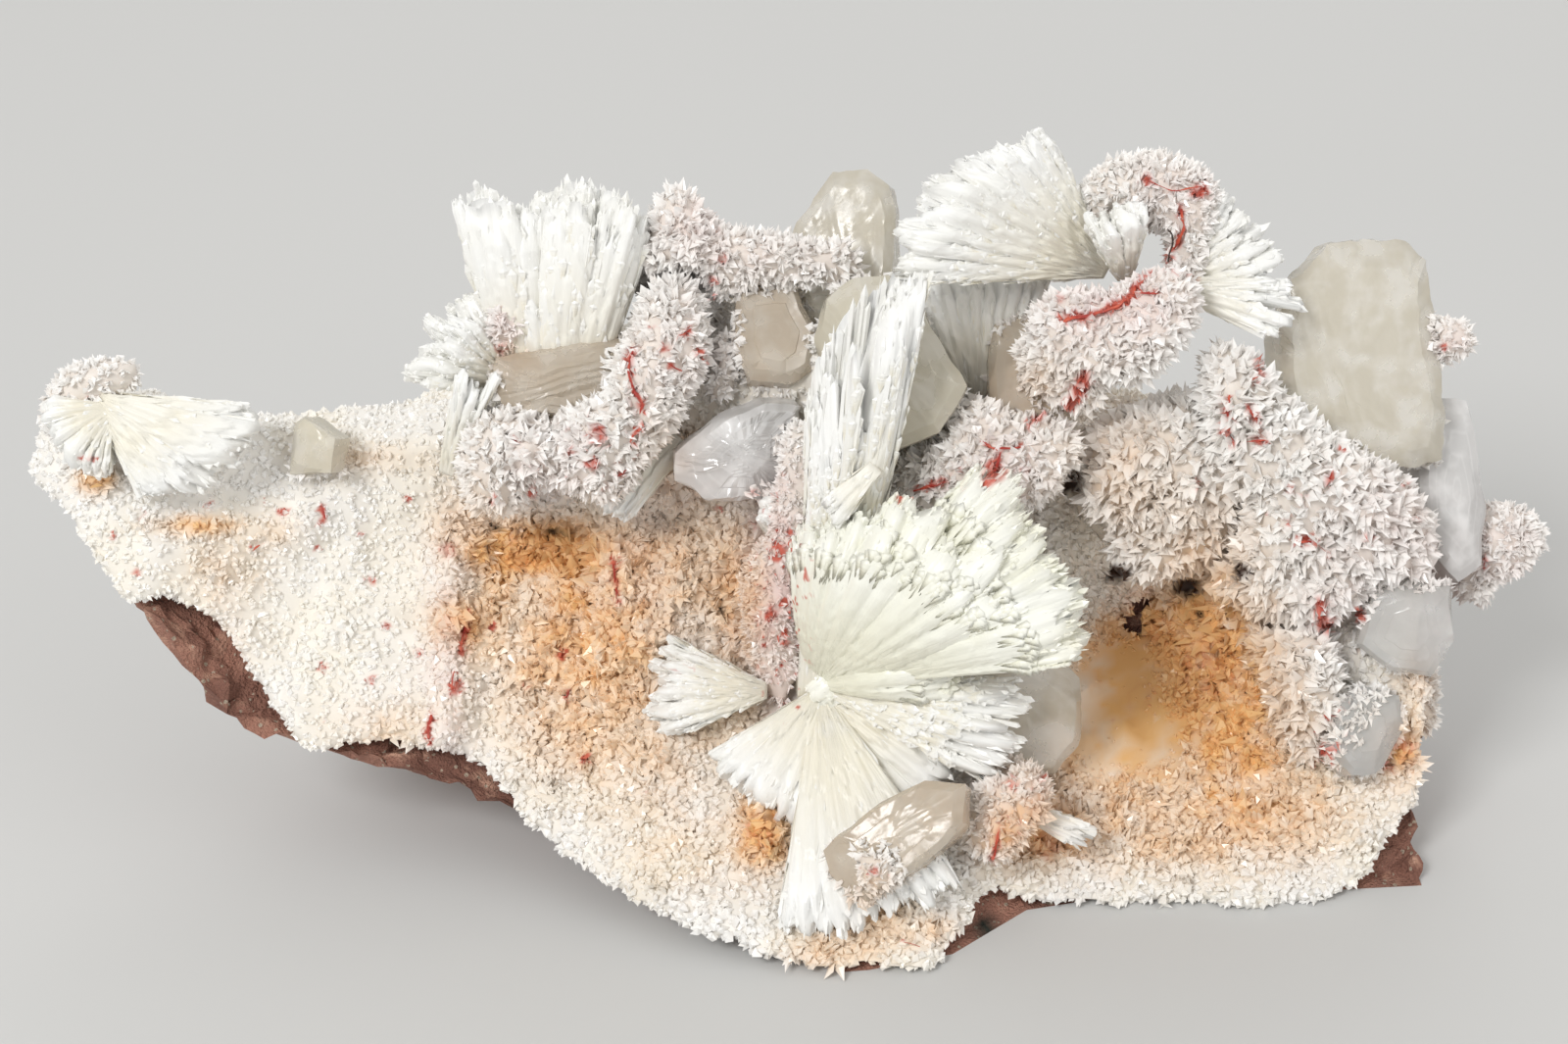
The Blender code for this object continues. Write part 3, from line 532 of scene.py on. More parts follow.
def joined(crowds: list[Shell]) -> Shell:
    """Joins crowds of crystals.

    Args:
        crowds: the crowds, with the same marks.

    Returns:
        One crowd, with the marks.
    """
    whole = stacked(crowds)
    for name in crowds[0].marks:
        whole.marks[name] = np.concatenate([crowd.marks[name] for crowd in crowds])
    return whole


def scatter(skin: Shell, spacing: float, rng: np.random.Generator) -> tuple[Array, Array]:
    """Places spread evenly over a skin: many are drawn by area and one is kept in each cell.

    Args:
        skin: the surface.
        spacing: the cells' size in millimetres.
        rng: draws the places.

    Returns:
        The places and the skin's normals there.
    """
    a, b, c = (skin.points[skin.triangles[:, k]] for k in range(3))
    areas = np.linalg.norm(np.cross(b - a, c - a), axis=1) / 2
    count = int(areas.sum() / spacing**2 * DRAWS)
    chosen = rng.choice(len(areas), count, p=areas / areas.sum())
    first, second = rng.random((2, count))
    fold = first + second > 1
    first[fold], second[fold] = 1 - first[fold], 1 - second[fold]
    shares = np.stack([1 - first - second, first, second], 1)
    corners = skin.triangles[chosen]
    places = (skin.points[corners] * shares[:, :, None]).sum(1)
    normals = unit((skin.normals()[corners] * shares[:, :, None]).sum(1))
    cells = np.floor(places / spacing).astype(np.int64)
    _, kept = np.unique(cells, axis=0, return_index=True)
    return places[kept], normals[kept]


@dataclass(frozen=True)
class Coat:
    """A coat of small crystals: rosettes so far apart, each of so many crystals.

    Spread is how far they lean apart and sunk the share of a crystal below the skin. Sizes vary
    by a share over patches of patch millimetres, and roots are shaken by a share of the spacing.
    """

    spacing: float = 0.98
    each: int = 3
    length: tuple[float, float] = (1.1, 2.3)
    width: tuple[float, float] = (0.8, 1.55)
    spread: float = 0.6
    sunk: float = 0.3
    habit: Habit = PETAL
    varied: float = 0.28
    patch: float = 4.5
    shaken: float = 0.12
    upright: float = 0.15
    dark: float = 0.75

    def scaled(self, by: float) -> "Coat":
        """The same coat with its spacing and its crystals so many times as large."""
        return replace(self, spacing=self.spacing * by, length=tuple(v * by for v in self.length),
                       width=tuple(v * by for v in self.width))

    def grow(self, skin: Shell, rng: np.random.Generator, bare: BVHTree, clear: float) -> Shell:
        """Sets the coat on a skin, except in the hollows that are painted dark as shade.

        Args:
            skin: the surface that carries it.
            rng: draws places, sizes and leans.
            bare: what the skin lies against, where nothing grows.
            clear: how near that is, in millimetres.

        Returns:
            The crystals.
        """
        places, normals = scatter(skin, self.spacing, rng)
        # The pits get no crystals, so that their painted shade shows.
        open_face = patches(VIEW.picture(places), PITS_PAINTED_DARK) < self.dark
        places, normals = places[open_face], normals[open_face]
        away = distance_to(bare, places)
        places, normals = (np.repeat(v[away > clear], self.each, 0) for v in (places, normals))
        axes = unit(normals + rng.normal(size=places.shape) * self.spread)
        inward = (axes * normals).sum(1) < self.upright
        axes[inward] = normals[inward]
        size = 1 + self.varied * smooth_noise(places, self.patch, 51)
        lengths = rng.uniform(*self.length, len(places)) * size
        widths = rng.uniform(*self.width, len(places)) * size
        roots = places + rng.normal(size=places.shape) * self.shaken * self.spacing
        below = axes * (self.sunk * lengths)[:, None]
        return crystals(roots - below, axes, lengths, widths, self.habit, rng)


# Stains and the painted shade of the pits, as the front view shows them.

# Honey-coloured patches: (right, up), half width, half height, strength.
HONEY = [
    ((-25.5, -2.4), 7.0, 2.4, 1.3), ((-17.0, -11.0), 9.0, 7.0, 0.45), ((-11.0, -4.5), 7.0, 6.0, 0.4),
    ((-24.0, -13.0), 8.0, 9.0, 0.4), ((-33.0, 0.0), 3.0, 4.0, 0.3), ((-13.0, -24.0), 10.0, 6.0, 0.3),
    ((-2.0, -31.2), 2.4, 4.0, 1.3), ((-8.0, -34.0), 8.0, 4.0, 0.25), ((-4.0, -9.0), 3.0, 8.0, 0.6),
    ((-29.5, -6.0), 2.0, 5.0, 0.5), ((-20.5, -6.0), 1.6, 4.0, 0.7), ((-15.5, -14.0), 2.5, 2.0, 0.3),
    ((-33.5, -10.5), 2.2, 2.4, 0.9), ((-9.0, -18.0), 5.0, 3.0, 0.3), ((-22.0, -21.0), 6.0, 4.0, 0.3),
    ((41.5, -12.5), 7.0, 6.0, 1.3), ((46.0, -19.5), 6.0, 6.0, 1.0), ((35.5, -13.8), 6.0, 3.6, 0.9),
    ((34.0, -20.5), 5.0, 4.5, 0.4), ((36.0, -25.0), 12.0, 6.0, 0.6), ((50.0, -29.0), 9.0, 5.0, 0.5),
    ((25.0, -31.5), 5.0, 3.0, 0.9),
    ((38.0, -33.0), 12.0, 3.5, 0.3), ((63.0, -23.0), 2.6, 3.4, 0.9), ((64.5, -15.5), 2.0, 3.0, 0.4),
    ((-70.3, 4.4), 1.8, 1.3, 1.2), ((-60.0, -0.4), 4.0, 1.0, 0.9), ((-57.5, -5.0), 4.0, 3.0, 0.3),
    ((-57.0, -12.0), 4.0, 4.0, 0.12), ((-41.0, -22.0), 5.0, 4.0, 0.3), ((-43.0, 6.5), 6.0, 1.6, 0.3),
    ((8.5, -40.0), 4.0, 4.0, 0.6), ((4.0, -44.0), 4.0, 2.5, 0.4), ((34.5, 4.5), 6.0, 7.0, 0.35),
    ((44.0, -3.0), 4.0, 6.0, 0.4), ((-10.5, 6.0), 3.0, 4.0, 0.5), ((-27.0, 16.5), 2.5, 2.0, 0.45),
    ((25.0, 14.0), 4.0, 3.0, 0.3), ((15.0, -41.5), 3.0, 1.6, 0.4), ((-52.0, -1.0), 3.0, 2.0, 0.25),
]

# Places where the druse is smooth and waxy, with crystals too small to see: the same.
SMOOTHED = [
    ((34.0, -15.5), 5.0, 4.5, 1.1), ((36.0, -22.5), 7.0, 3.6, 1.0), ((31.5, -20.0), 3.5, 4.0, 0.8),
    ((47.5, -26.5), 3.0, 2.5, 0.6),
]

# Pinkish patches: the same.
BLUSH = [
    ((-24.0, 6.0), 5.0, 5.0, 0.21), ((0.0, -8.0), 4.0, 12.0, 0.6), ((33.0, 22.0), 8.0, 5.0, 0.39),
    ((22.0, 5.0), 6.0, 6.0, 0.24), ((40.0, 33.0), 6.0, 4.0, 0.21), ((-10.0, 17.0), 5.0, 6.0, 0.18),
    ((-9.0, 31.0), 4.0, 3.0, 0.27), ((62.0, 0.0), 7.0, 6.0, 0.21), ((57.0, -9.0), 5.0, 4.0, 0.18),
    ((-28.5, 20.5), 3.0, 3.0, 0.42), ((68.0, 18.0), 3.0, 3.0, 0.24), ((73.0, -3.0), 5.0, 5.0, 0.27),
    ((24.0, -29.0), 5.0, 5.0, 0.21), ((-6.0, 3.5), 6.0, 3.0, 0.24), ((-15.0, -3.0), 5.0, 8.0, 0.15),
    ((66.0, -9.0), 3.0, 6.0, 0.24), ((-3.0, 27.0), 9.0, 3.0, 0.15), ((-34.4, -14.0), 2.2, 11.0, 0.4),
]

# Where fine red specks lie close: the same.
SPECKLED = [
    ((-0.5, -7.5), 3.4, 12.0, 1.0), ((33.0, 21.0), 7.0, 4.0, 0.45), ((-28.5, 20.5), 2.5, 2.5, 0.5),
    ((22.0, 5.0), 6.0, 4.5, 0.4), ((-17.0, 8.0), 7.0, 6.0, 0.35), ((-24.0, 6.0), 6.0, 5.0, 0.35),
    ((46.0, 11.0), 4.0, 6.0, 0.35), ((57.0, -11.0), 5.0, 4.0, 0.45), ((24.0, -29.0), 4.0, 5.0, 0.6),
    ((57.0, -24.0), 5.0, 3.0, 0.6), ((9.2, -35.6), 2.0, 2.0, 0.6), ((70.5, -2.0), 5.0, 6.0, 0.35),
    ((-10.5, -15.0), 3.0, 3.5, 0.4), ((-34.0, -12.0), 2.5, 11.0, 0.3), ((53.0, 1.0), 5.0, 8.0, 0.3),
]

# Red threads: the places that they run through, their half width and their strength.
RED_THREADS = [
    ([(-15.2, 17.8), (-15.8, 16.5), (-15.7, 15.0), (-15.2, 13.3), (-14.4, 12.0), (-14.6, 10.9)], 0.34, 1.0),
    ([(-14.2, 9.7), (-15.1, 9.3), (-15.6, 8.0)], 0.26, 1.0),
    ([(-9.4, 19.9), (-10.6, 18.9)], 0.26, 1.0),
    ([(-11.9, 16.3), (-10.5, 15.5)], 0.26, 0.9),
    ([(-8.9, 17.3), (-7.9, 16.5)], 0.3, 0.9),
    ([(-16.1, 5.3), (-16.8, 4.7)], 0.26, 0.8),
    ([(40.6, 32.0), (40.8, 29.9), (40.2, 28.3), (38.9, 26.7)], 0.36, 1.0),
    ([(36.9, 35.0), (39.6, 33.9), (42.3, 34.2)], 0.2, 0.8),
    ([(28.4, 20.6), (31.4, 21.1), (34.0, 22.1), (35.6, 23.2), (36.2, 24.6), (37.4, 25.4)], 0.42, 1.0),
    ([(36.3, 23.4), (38.2, 23.2)], 0.32, 0.9),
    ([(38.7, 25.8), (40.8, 25.3), (42.1, 24.7)], 0.55, 0.45),
    ([(30.9, 14.8), (30.2, 13.6), (29.1, 12.0)], 0.85, 1.0),
    ([(26.5, 11.1), (24.9, 10.1)], 0.5, 1.0),
    ([(20.2, 8.2), (22.0, 7.3), (24.4, 7.6)], 0.26, 1.0),
    ([(21.5, 5.2), (22.2, 7.0)], 0.4, 0.9),
    ([(13.3, 3.2), (16.5, 4.1)], 0.48, 0.95),
    ([(49.8, 18.0), (48.8, 16.8), (48.4, 14.4)], 0.32, 1.0),
    ([(45.4, 13.0), (45.1, 10.8), (45.9, 10.5)], 0.28, 1.0),
    ([(47.4, 11.8), (48.5, 9.9)], 0.28, 0.9),
    ([(44.9, 9.3), (45.9, 8.2)], 0.3, 1.0),
    ([(47.1, 8.3), (49.3, 8.3)], 0.3, 0.9),
    ([(56.0, 4.9), (55.3, 3.8)], 0.36, 1.0),
    ([(52.3, -1.9), (54.3, -2.0)], 0.4, 1.0),
    ([(54.6, -8.0), (55.0, -10.3)], 0.5, 1.0),
    ([(57.5, -18.6), (54.0, -21.4)], 0.24, 0.9),
    ([(71.6, -3.2), (71.4, -4.8)], 0.2, 0.7),
    ([(21.9, -31.6), (21.3, -34.8)], 0.3, 0.9),
    ([(11.9, -42.8), (14.0, -43.4)], 0.14, 0.8),
    ([(-32.2, -8.7), (-32.6, -11.0), (-32.9, -13.5)], 0.3, 1.0),
    ([(-33.6, -15.0), (-34.2, -17.6)], 0.26, 0.9),
    ([(-36.0, -19.7), (-36.4, -21.4), (-36.1, -22.8)], 0.42, 1.0),
    ([(-17.4, -3.5), (-17.3, -6.0), (-17.0, -8.3)], 0.26, 1.0),
    ([(-47.2, 1.6), (-46.9, 0.2)], 0.4, 0.9),
    ([(-53.6, -2.2), (-54.2, -2.9)], 0.3, 0.9),
    ([(-21.9, -17.2), (-22.3, -18.3)], 0.3, 0.9),
    ([(-72.0, 6.2), (-69.6, 6.4)], 0.3, 0.8),
]

# Red spots: (right, up), radius, strength.
RED_SPOTS = [
    ((-19.0, 8.9), 0.95, 1.0), ((-19.5, 5.8), 0.65, 1.0), ((-27.4, 8.3), 0.55, 0.9),
    ((-25.7, 2.8), 0.55, 0.9), ((-25.5, 5.4), 0.9, 0.4), ((-12.2, 17.9), 0.45, 0.9),
    ((-13.7, 20.0), 0.35, 0.8), ((-7.2, 24.5), 0.5, 0.9), ((-7.2, 22.8), 0.35, 0.8),
    ((-6.2, 26.8), 0.5, 0.9), ((-6.7, 29.5), 0.6, 0.4), ((-28.9, 17.9), 0.8, 0.6),
    ((-18.3, 3.5), 0.35, 0.8), ((36.9, 35.0), 0.7, 0.9), ((42.3, 33.8), 0.9, 0.9),
    ((39.6, 33.9), 0.45, 0.6), ((28.0, 22.9), 0.8, 0.5), ((21.5, 5.2), 1.35, 0.9),
    ((24.6, 5.5), 0.6, 0.5), ((18.1, 5.2), 0.4, 0.8), ((11.8, 2.4), 0.4, 0.9),
    ((18.4, 3.0), 0.55, 0.5), ((57.1, 7.7), 0.4, 0.9), ((51.8, 3.5), 0.6, 0.9),
    ((53.4, 2.2), 0.55, 0.8), ((51.3, 0.2), 0.35, 0.8), ((55.6, -3.3), 0.35, 0.8),
    ((55.0, -10.4), 0.95, 1.0), ((58.7, -9.5), 0.65, 0.9), ((42.3, 4.0), 0.35, 0.7),
    ((63.6, 3.8), 0.35, 0.8), ((64.5, 0.3), 0.75, 0.4), ((61.9, -3.9), 0.4, 0.8),
    ((67.2, 17.9), 0.45, 0.8), ((65.8, -11.1), 0.6, 0.5), ((56.4, -23.0), 0.5, 0.9),
    ((54.0, -24.7), 0.6, 0.7), ((61.7, -24.9), 0.9, 0.6), ((33.2, -16.3), 0.4, 0.7),
    ((36.6, -18.9), 0.3, 0.8), ((33.5, -20.2), 0.6, 0.4), ((-0.1, -2.6), 0.5, 0.7),
    ((-1.3, -9.2), 0.8, 0.7), ((0.2, -12.2), 0.5, 0.7), ((1.4, -18.8), 0.35, 0.8),
    ((26.6, -26.0), 0.45, 0.8), ((9.2, -35.6), 0.5, 0.8), ((-43.2, -1.2), 0.5, 0.8),
    ((-47.5, -2.6), 0.35, 0.8), ((-53.3, 2.0), 0.28, 0.7), ((-41.6, -16.6), 0.3, 0.8),
    ((-46.9, -20.3), 0.26, 0.7), ((-71.0, 13.0), 0.4, 0.5), ((-3.5, 2.8), 0.5, 0.5),
    ((-6.5, 1.4), 0.4, 0.6), ((-17.5, -24.5), 0.35, 0.5), ((-14.0, -27.5), 0.3, 0.6),
    ((-65.3, 0.5), 0.6, 0.9), ((-68.4, -1.4), 0.45, 0.8), ((-65.9, -5.3), 0.5, 0.8),
    ((-51.1, 1.0), 0.55, 1.0), ((-42.2, -5.9), 0.5, 0.9), ((-40.5, -10.7), 0.45, 0.8),
    ((-47.0, -14.9), 0.5, 0.9), ((-42.2, -16.2), 0.6, 1.0), ((-33.4, -16.9), 0.7, 0.9),
    ((-29.8, -10.7), 0.5, 0.9), ((-20.5, -24.2), 0.5, 0.9), ((-34.3, -2.8), 1.1, 0.55),
    ((-38.4, 2.2), 0.5, 0.8), ((-58.8, 1.8), 0.5, 0.8), ((-22.6, -13.4), 0.6, 0.8),
    ((-26.0, -16.6), 0.5, 0.7), ((-61.6, -9.4), 0.4, 0.6), ((-37.2, -13.4), 0.5, 0.8),
    ((37.0, -9.8), 5.0, 0.3), ((43.4, -15.0), 4.6, 0.36), ((-25.5, -2.4), 4.5, 0.28),
    ((-2.2, -31.4), 2.4, 0.36), ((62.6, -23.6), 2.6, 0.42), ((-17.6, -5.4), 2.0, 0.3),
    ((36.4, -17.8), 2.2, 0.34), ((-33.6, -10.4), 2.0, 0.3), ((27.0, -33.0), 2.4, 0.34),
    ((25.7, 10.7), 0.5, 0.7), ((55.1, 4.3), 0.4, 0.7), ((55.1, -23.2), 0.6, 0.9),
    ((60.1, -24.6), 0.8, 0.7), ((49.0, 0.6), 0.4, 0.7), ((59.6, -1.6), 0.4, 0.7),
    ((47.0, -11.6), 0.4, 0.5), ((-29.6, 2.2), 0.5, 0.8), ((-22.0, 7.2), 0.4, 0.8),
]

# Hollows between the pieces, pressed into the skins and painted near black as painted shade: the same as
# the patches.
PITS_PAINTED_DARK = [
    ((34.3, -5.2), 1.4, 1.2, 1.6), ((41.2, -6.6), 2.0, 1.1, 1.5), ((46.8, -5.0), 1.2, 1.2, 1.6),
    ((42.6, -9.6), 0.9, 1.2, 1.0), ((29.6, 4.0), 1.2, 1.5, 1.6), ((-6.3, -8.8), 0.7, 0.7, 1.0),
    ((-6.2, -10.3), 0.5, 0.6, 1.0), ((-2.2, -0.6), 1.2, 2.0, 0.7), ((-29.5, -0.6), 1.4, 0.9, 0.8),
    ((-23.0, -1.0), 4.0, 1.0, 0.9), ((-19.5, -4.8), 0.7, 1.2, 0.7), ((-62.0, -1.7), 1.2, 0.5, 0.6),
]

# How noise frays the stains: the shares of the wide noise and the fine one in honey and in blush.
HONEY_FRAY = (0.45, 0.3)
BLUSH_FRAY = (0.6, 0.3)

# How far noise sways the red's edges, in millimetres, and how its strength is broken: a base and a
# share of the noise.
RED_SWAY = 0.3
RED_BROKEN = (1.05, 0.9)

# From where the specks' noise shows, and how fast it rises.
SPECKS_FROM, SPECKS_RISE = 0.42, 5


def patches(places: Array, spots: list[Patch]) -> Array:
    """The sum of soft round patches: strength × exp(-(dx / w)² - (dy / h)²), from 0 to 1.

    Args:
        places: places in the front view.
        spots: the patches.

    Returns:
        One value for each place.
    """
    total = np.zeros(len(places))
    for (right, up), width, height, strength in spots:
        off = ((places[:, 0] - right) / width) ** 2 + ((places[:, 1] - up) / height) ** 2
        total += strength * np.exp(-off)
    return np.clip(total, 0, 1)


def sink_pits(skin: Shell, depth: float = 1.2) -> Shell:
    """Presses a skin in where the hollows painted dark as shade lie, and returns it."""
    skin.points -= skin.normals() * (depth * patches(VIEW.picture(skin.points), PITS_PAINTED_DARK))[:, None]
    return skin


def from_segment(places: Array, start: Spot, end: Spot) -> Array:
    """Measures from a line between two places.

    Args:
        places: places in the front view.
        start: one end of the line.
        end: the other.

    Returns:
        The distance of each place.
    """
    a, b = np.array(start), np.array(end)
    share = np.clip(((places - a) @ (b - a)) / max((b - a) @ (b - a), 1e-9), 0, 1)
    return np.linalg.norm(places - a - share[:, None] * (b - a), axis=1)


def redness(places: Array) -> Array:
    """How red each place is by the threads and spots: full within a width, then falling to 0.

    Args:
        places: places in the front view.

    Returns:
        The redness, from 0 to 1.
    """
    red = np.zeros(len(places))
    for thread, width, strength in RED_THREADS:
        for start, end in zip(thread, thread[1:]):
            near = np.clip(1.4 - from_segment(places, start, end) / width, 0, 1)
            red = np.maximum(red, near * strength)
    for (right, up), radius, strength in RED_SPOTS:
        near = np.clip(1.5 - np.hypot(places[:, 0] - right, places[:, 1] - up) / radius, 0, 1)
        red = np.maximum(red, near * strength)
    return red


def stain_and_shade(shell: Shell, share: float = 1.0) -> Shell:
    """Marks the honey, blush and red stains of a shell, and the painted shade of its pits, by where the
    front view shows each point.

    Noise frays the patches, sways the red's edges and breaks its strength. In the speckled places
    red also lies where a fine noise peaks.

    Args:
        shell: the shell, marked in place.
        share: how much of the honey and blush it takes.

    Returns:
        The same shell.
    """
    points, places = shell.points, VIEW.picture(shell.points)
    fine = smooth_noise(points, 0.8, 16)
    for mark, spots, wide, (much, little) in (
            ("honey", HONEY, smooth_noise(points, 2.2, 11), HONEY_FRAY),
            ("blush", BLUSH, smooth_noise(points, 1.7, 12), BLUSH_FRAY)):
        frayed = patches(places, spots) * share * (1 + much * wide + little * fine)
        shell.marks[mark] = np.clip(frayed, 0, 1)
    ragged = places + RED_SWAY * noise_pair(points, 0.9, (13, 16), 2)
    base, broken = RED_BROKEN
    red = redness(ragged) * np.clip(base + broken * smooth_noise(points, 1.0, 19), 0, 1)
    specks = np.clip(SPECKS_RISE * (smooth_noise(points, 0.7, 17) - SPECKS_FROM), 0, 1)
    toned = red * (0.75 + 0.25 * shell.mark("tone"))
    shell.marks["red"] = np.maximum(toned, specks * patches(places, SPECKLED))
    # Painted shade: the pits are marked to be darkened near black, for the shade in the hollows.
    shell.marks["pit_shade"] = patches(ragged, PITS_PAINTED_DARK)
    return shell


# Finishes.

MINERAL_IOR = 1.5


@dataclass
class Nodes:
    """Adds nodes to a tree and joins them, so that a finish reads as a list of steps."""

    tree: bpy.types.NodeTree

    def add(self, kind: str, **settings: object) -> bpy.types.Node:
        """Adds a node.

        Args:
            kind: the node's type.
            settings: its properties.

        Returns:
            The node.
        """
        node = self.tree.nodes.new(kind)
        for key, value in settings.items():
            setattr(node, key, value)
        return node

    def feed(self, socket: bpy.types.NodeSocket, value: object) -> None:
        """Links a socket to the value given, or sets it where the value isn't a socket.

        Args:
            socket: the socket.
            value: another socket, a number or a colour.
        """
        if isinstance(value, bpy.types.NodeSocket):
            self.tree.links.new(value, socket)
        elif isinstance(value, tuple) and len(value) == 3 and socket.type == "RGBA":
            socket.default_value = (*value, 1)
        else:
            socket.default_value = value

    def math(self, operation: str, *values: object) -> bpy.types.NodeSocket:
        """Works out a sum.

        Args:
            operation: its name.
            values: what goes in.

        Returns:
            The outcome.
        """
        node = self.add("ShaderNodeMath", operation=operation)
        for socket, value in zip(node.inputs, values):
            self.feed(socket, value)
        return node.outputs[0]

    def mix(self, share: object, first: object, second: object) -> bpy.types.NodeSocket:
        """Blends two colours.

        Args:
            share: how much of the second shows.
            first: the first colour.
            second: the second.

        Returns:
            The blend.
        """
        node = self.add("ShaderNodeMix", data_type="RGBA", clamp_factor=True)
        self.feed(node.inputs["Factor"], share)
        self.feed(node.inputs[6], first)
        self.feed(node.inputs[7], second)
        return node.outputs[2]

    def mark(self, name: str) -> bpy.types.NodeSocket:
        """The value that a mark has on the surface."""
        return self.add("ShaderNodeAttribute", attribute_name=name).outputs["Fac"]

    def noise(self, place: bpy.types.NodeSocket, scale: object, detail: float) -> bpy.types.NodeSocket:
        """Adds a noise.

        Args:
            place: the coordinates that it reads.
            scale: how many features there are to a unit of them.
            detail: how finely it is layered.

        Returns:
            Its value.
        """
        node = self.add("ShaderNodeTexNoise")
        self.feed(node.inputs["Vector"], place)
        self.feed(node.inputs["Scale"], scale)
        node.inputs["Detail"].default_value = detail
        return node.outputs["Fac"]

    def object_place(self) -> bpy.types.NodeSocket:
        """Object coordinates, in metres."""
        return self.add("ShaderNodeTexCoord").outputs["Object"]

    def between(self, value: object, low: float, high: float) -> bpy.types.NodeSocket:
        """Eases a value.

        Args:
            value: the value.
            low: where it is still 0.
            high: where it is 1.

        Returns:
            The eased value.
        """
        node = self.add("ShaderNodeMapRange", interpolation_type="SMOOTHSTEP")
        self.feed(node.inputs["Value"], value)
        node.inputs["From Min"].default_value = low
        node.inputs["From Max"].default_value = high
        return node.outputs["Result"]

    def group(self, tree: bpy.types.NodeTree, **values: object) -> dict[str, bpy.types.NodeSocket]:
        """Places a shared effect.

        Args:
            tree: the effect.
            values: its inputs.

        Returns:
            Its outputs by name.
        """
        node = self.add("ShaderNodeGroup", node_tree=tree)
        for name, value in values.items():
            self.feed(node.inputs[name], value)
        return {output.name: output for output in node.outputs}


def new_group(name: str, inputs: dict[str, object], outputs: dict[str, str]) -> tuple[Nodes, dict]:
    """Starts a node group.

    Args:
        name: the group's name.
        inputs: the default of each input: a number or a colour.
        outputs: the kind of each output, Float or Color.

    Returns:
        The group's nodes, and its inputs' sockets by name with its output node under "out".
    """
    tree = bpy.data.node_groups.new(name, "ShaderNodeTree")
    for key, default in inputs.items():
        kind = "NodeSocketColor" if isinstance(default, tuple) else "NodeSocketFloat"
        socket = tree.interface.new_socket(key, in_out="INPUT", socket_type=kind)
        socket.default_value = (*default, 1) if isinstance(default, tuple) else default
    for key, kind in outputs.items():
        tree.interface.new_socket(key, in_out="OUTPUT", socket_type="NodeSocket" + kind)
    nodes = Nodes(tree)
    start = nodes.add("NodeGroupInput")
    sockets = {key: start.outputs[key] for key in inputs}
    sockets["out"] = nodes.add("NodeGroupOutput")
    return nodes, sockets


def grain_group() -> bpy.types.NodeTree:
    """Two noises on Object coordinates: a patchy one for colour and a fine one for relief.

    Returns:
        The group, whose inputs are the noises' sizes in millimetres.
    """
    nodes, at = new_group("mineral_grain", {"Patch": 4.0, "Grain": 0.5},
                          {"Patches": "Float", "Relief": "Float"})
    place = nodes.object_place()
    for name, output, detail in (("Patch", "Patches", 3.0), ("Grain", "Relief", 4.0)):
        scale = nodes.math("DIVIDE", 1 / MM, at[name])
        nodes.feed(at["out"].inputs[output], nodes.noise(place, scale, detail))
    return nodes.tree


def stain_and_shade_group() -> bpy.types.NodeTree:
    """Tints a colour by the honey, blush and red marks, and darkens it near black by the pit mark as
    painted shade, each over the last.

    Returns:
        The group.
    """
    nodes, at = new_group("mineral_stain_and_shade",
                          {"Colour": (0.8, 0.8, 0.8), "Honey": (0.6, 0.3, 0.1),
                           "Blush": (0.62, 0.4, 0.36), "Red": (0.4, 0.03, 0.02)},
                          {"Colour": "Color"})
    honeyed = nodes.mix(nodes.mark("honey"), at["Colour"], at["Honey"])
    blushed = nodes.mix(nodes.mark("blush"), honeyed, at["Blush"])
    red = nodes.math("MULTIPLY", nodes.between(nodes.mark("red"), 0.15, 0.6), 0.95)
    reddened = nodes.mix(red, blushed, at["Red"])
    # Painted shade: near black in the pits, for the shade in the hollows between pieces.
    pit_shaded = nodes.mix(nodes.between(nodes.mark("pit_shade"), 0.55, 0.95), reddened, (0.05, 0.022, 0.012))
    nodes.feed(at["out"].inputs["Colour"], pit_shaded)
    return nodes.tree


GRAIN_GROUP = grain_group()
STAIN_AND_SHADE_GROUP = stain_and_shade_group()


def new_finish(name: str) -> tuple[bpy.types.Material, Nodes, bpy.types.Node]:
    """A material with its nodes and its Principled shader."""
    material = bpy.data.materials.new(name)
    material.use_nodes = True
    return material, Nodes(material.node_tree), material.node_tree.nodes["Principled BSDF"]


def raise_relief(nodes: Nodes, shader: bpy.types.Node, height: object, depth: float,
                 strength: float) -> None:
    """Feeds a bump to a shader's normal.

    Args:
        nodes: the material's nodes.
        shader: its Principled shader.
        height: the relief, from 0 to 1.
        depth: its depth in millimetres.
        strength: how much of it shows.
    """
    bump = nodes.add("ShaderNodeBump")
    bump.inputs["Strength"].default_value = strength
    bump.inputs["Distance"].default_value = depth * MM
    nodes.feed(bump.inputs["Height"], height)
    nodes.feed(shader.inputs["Normal"], bump.outputs["Normal"])


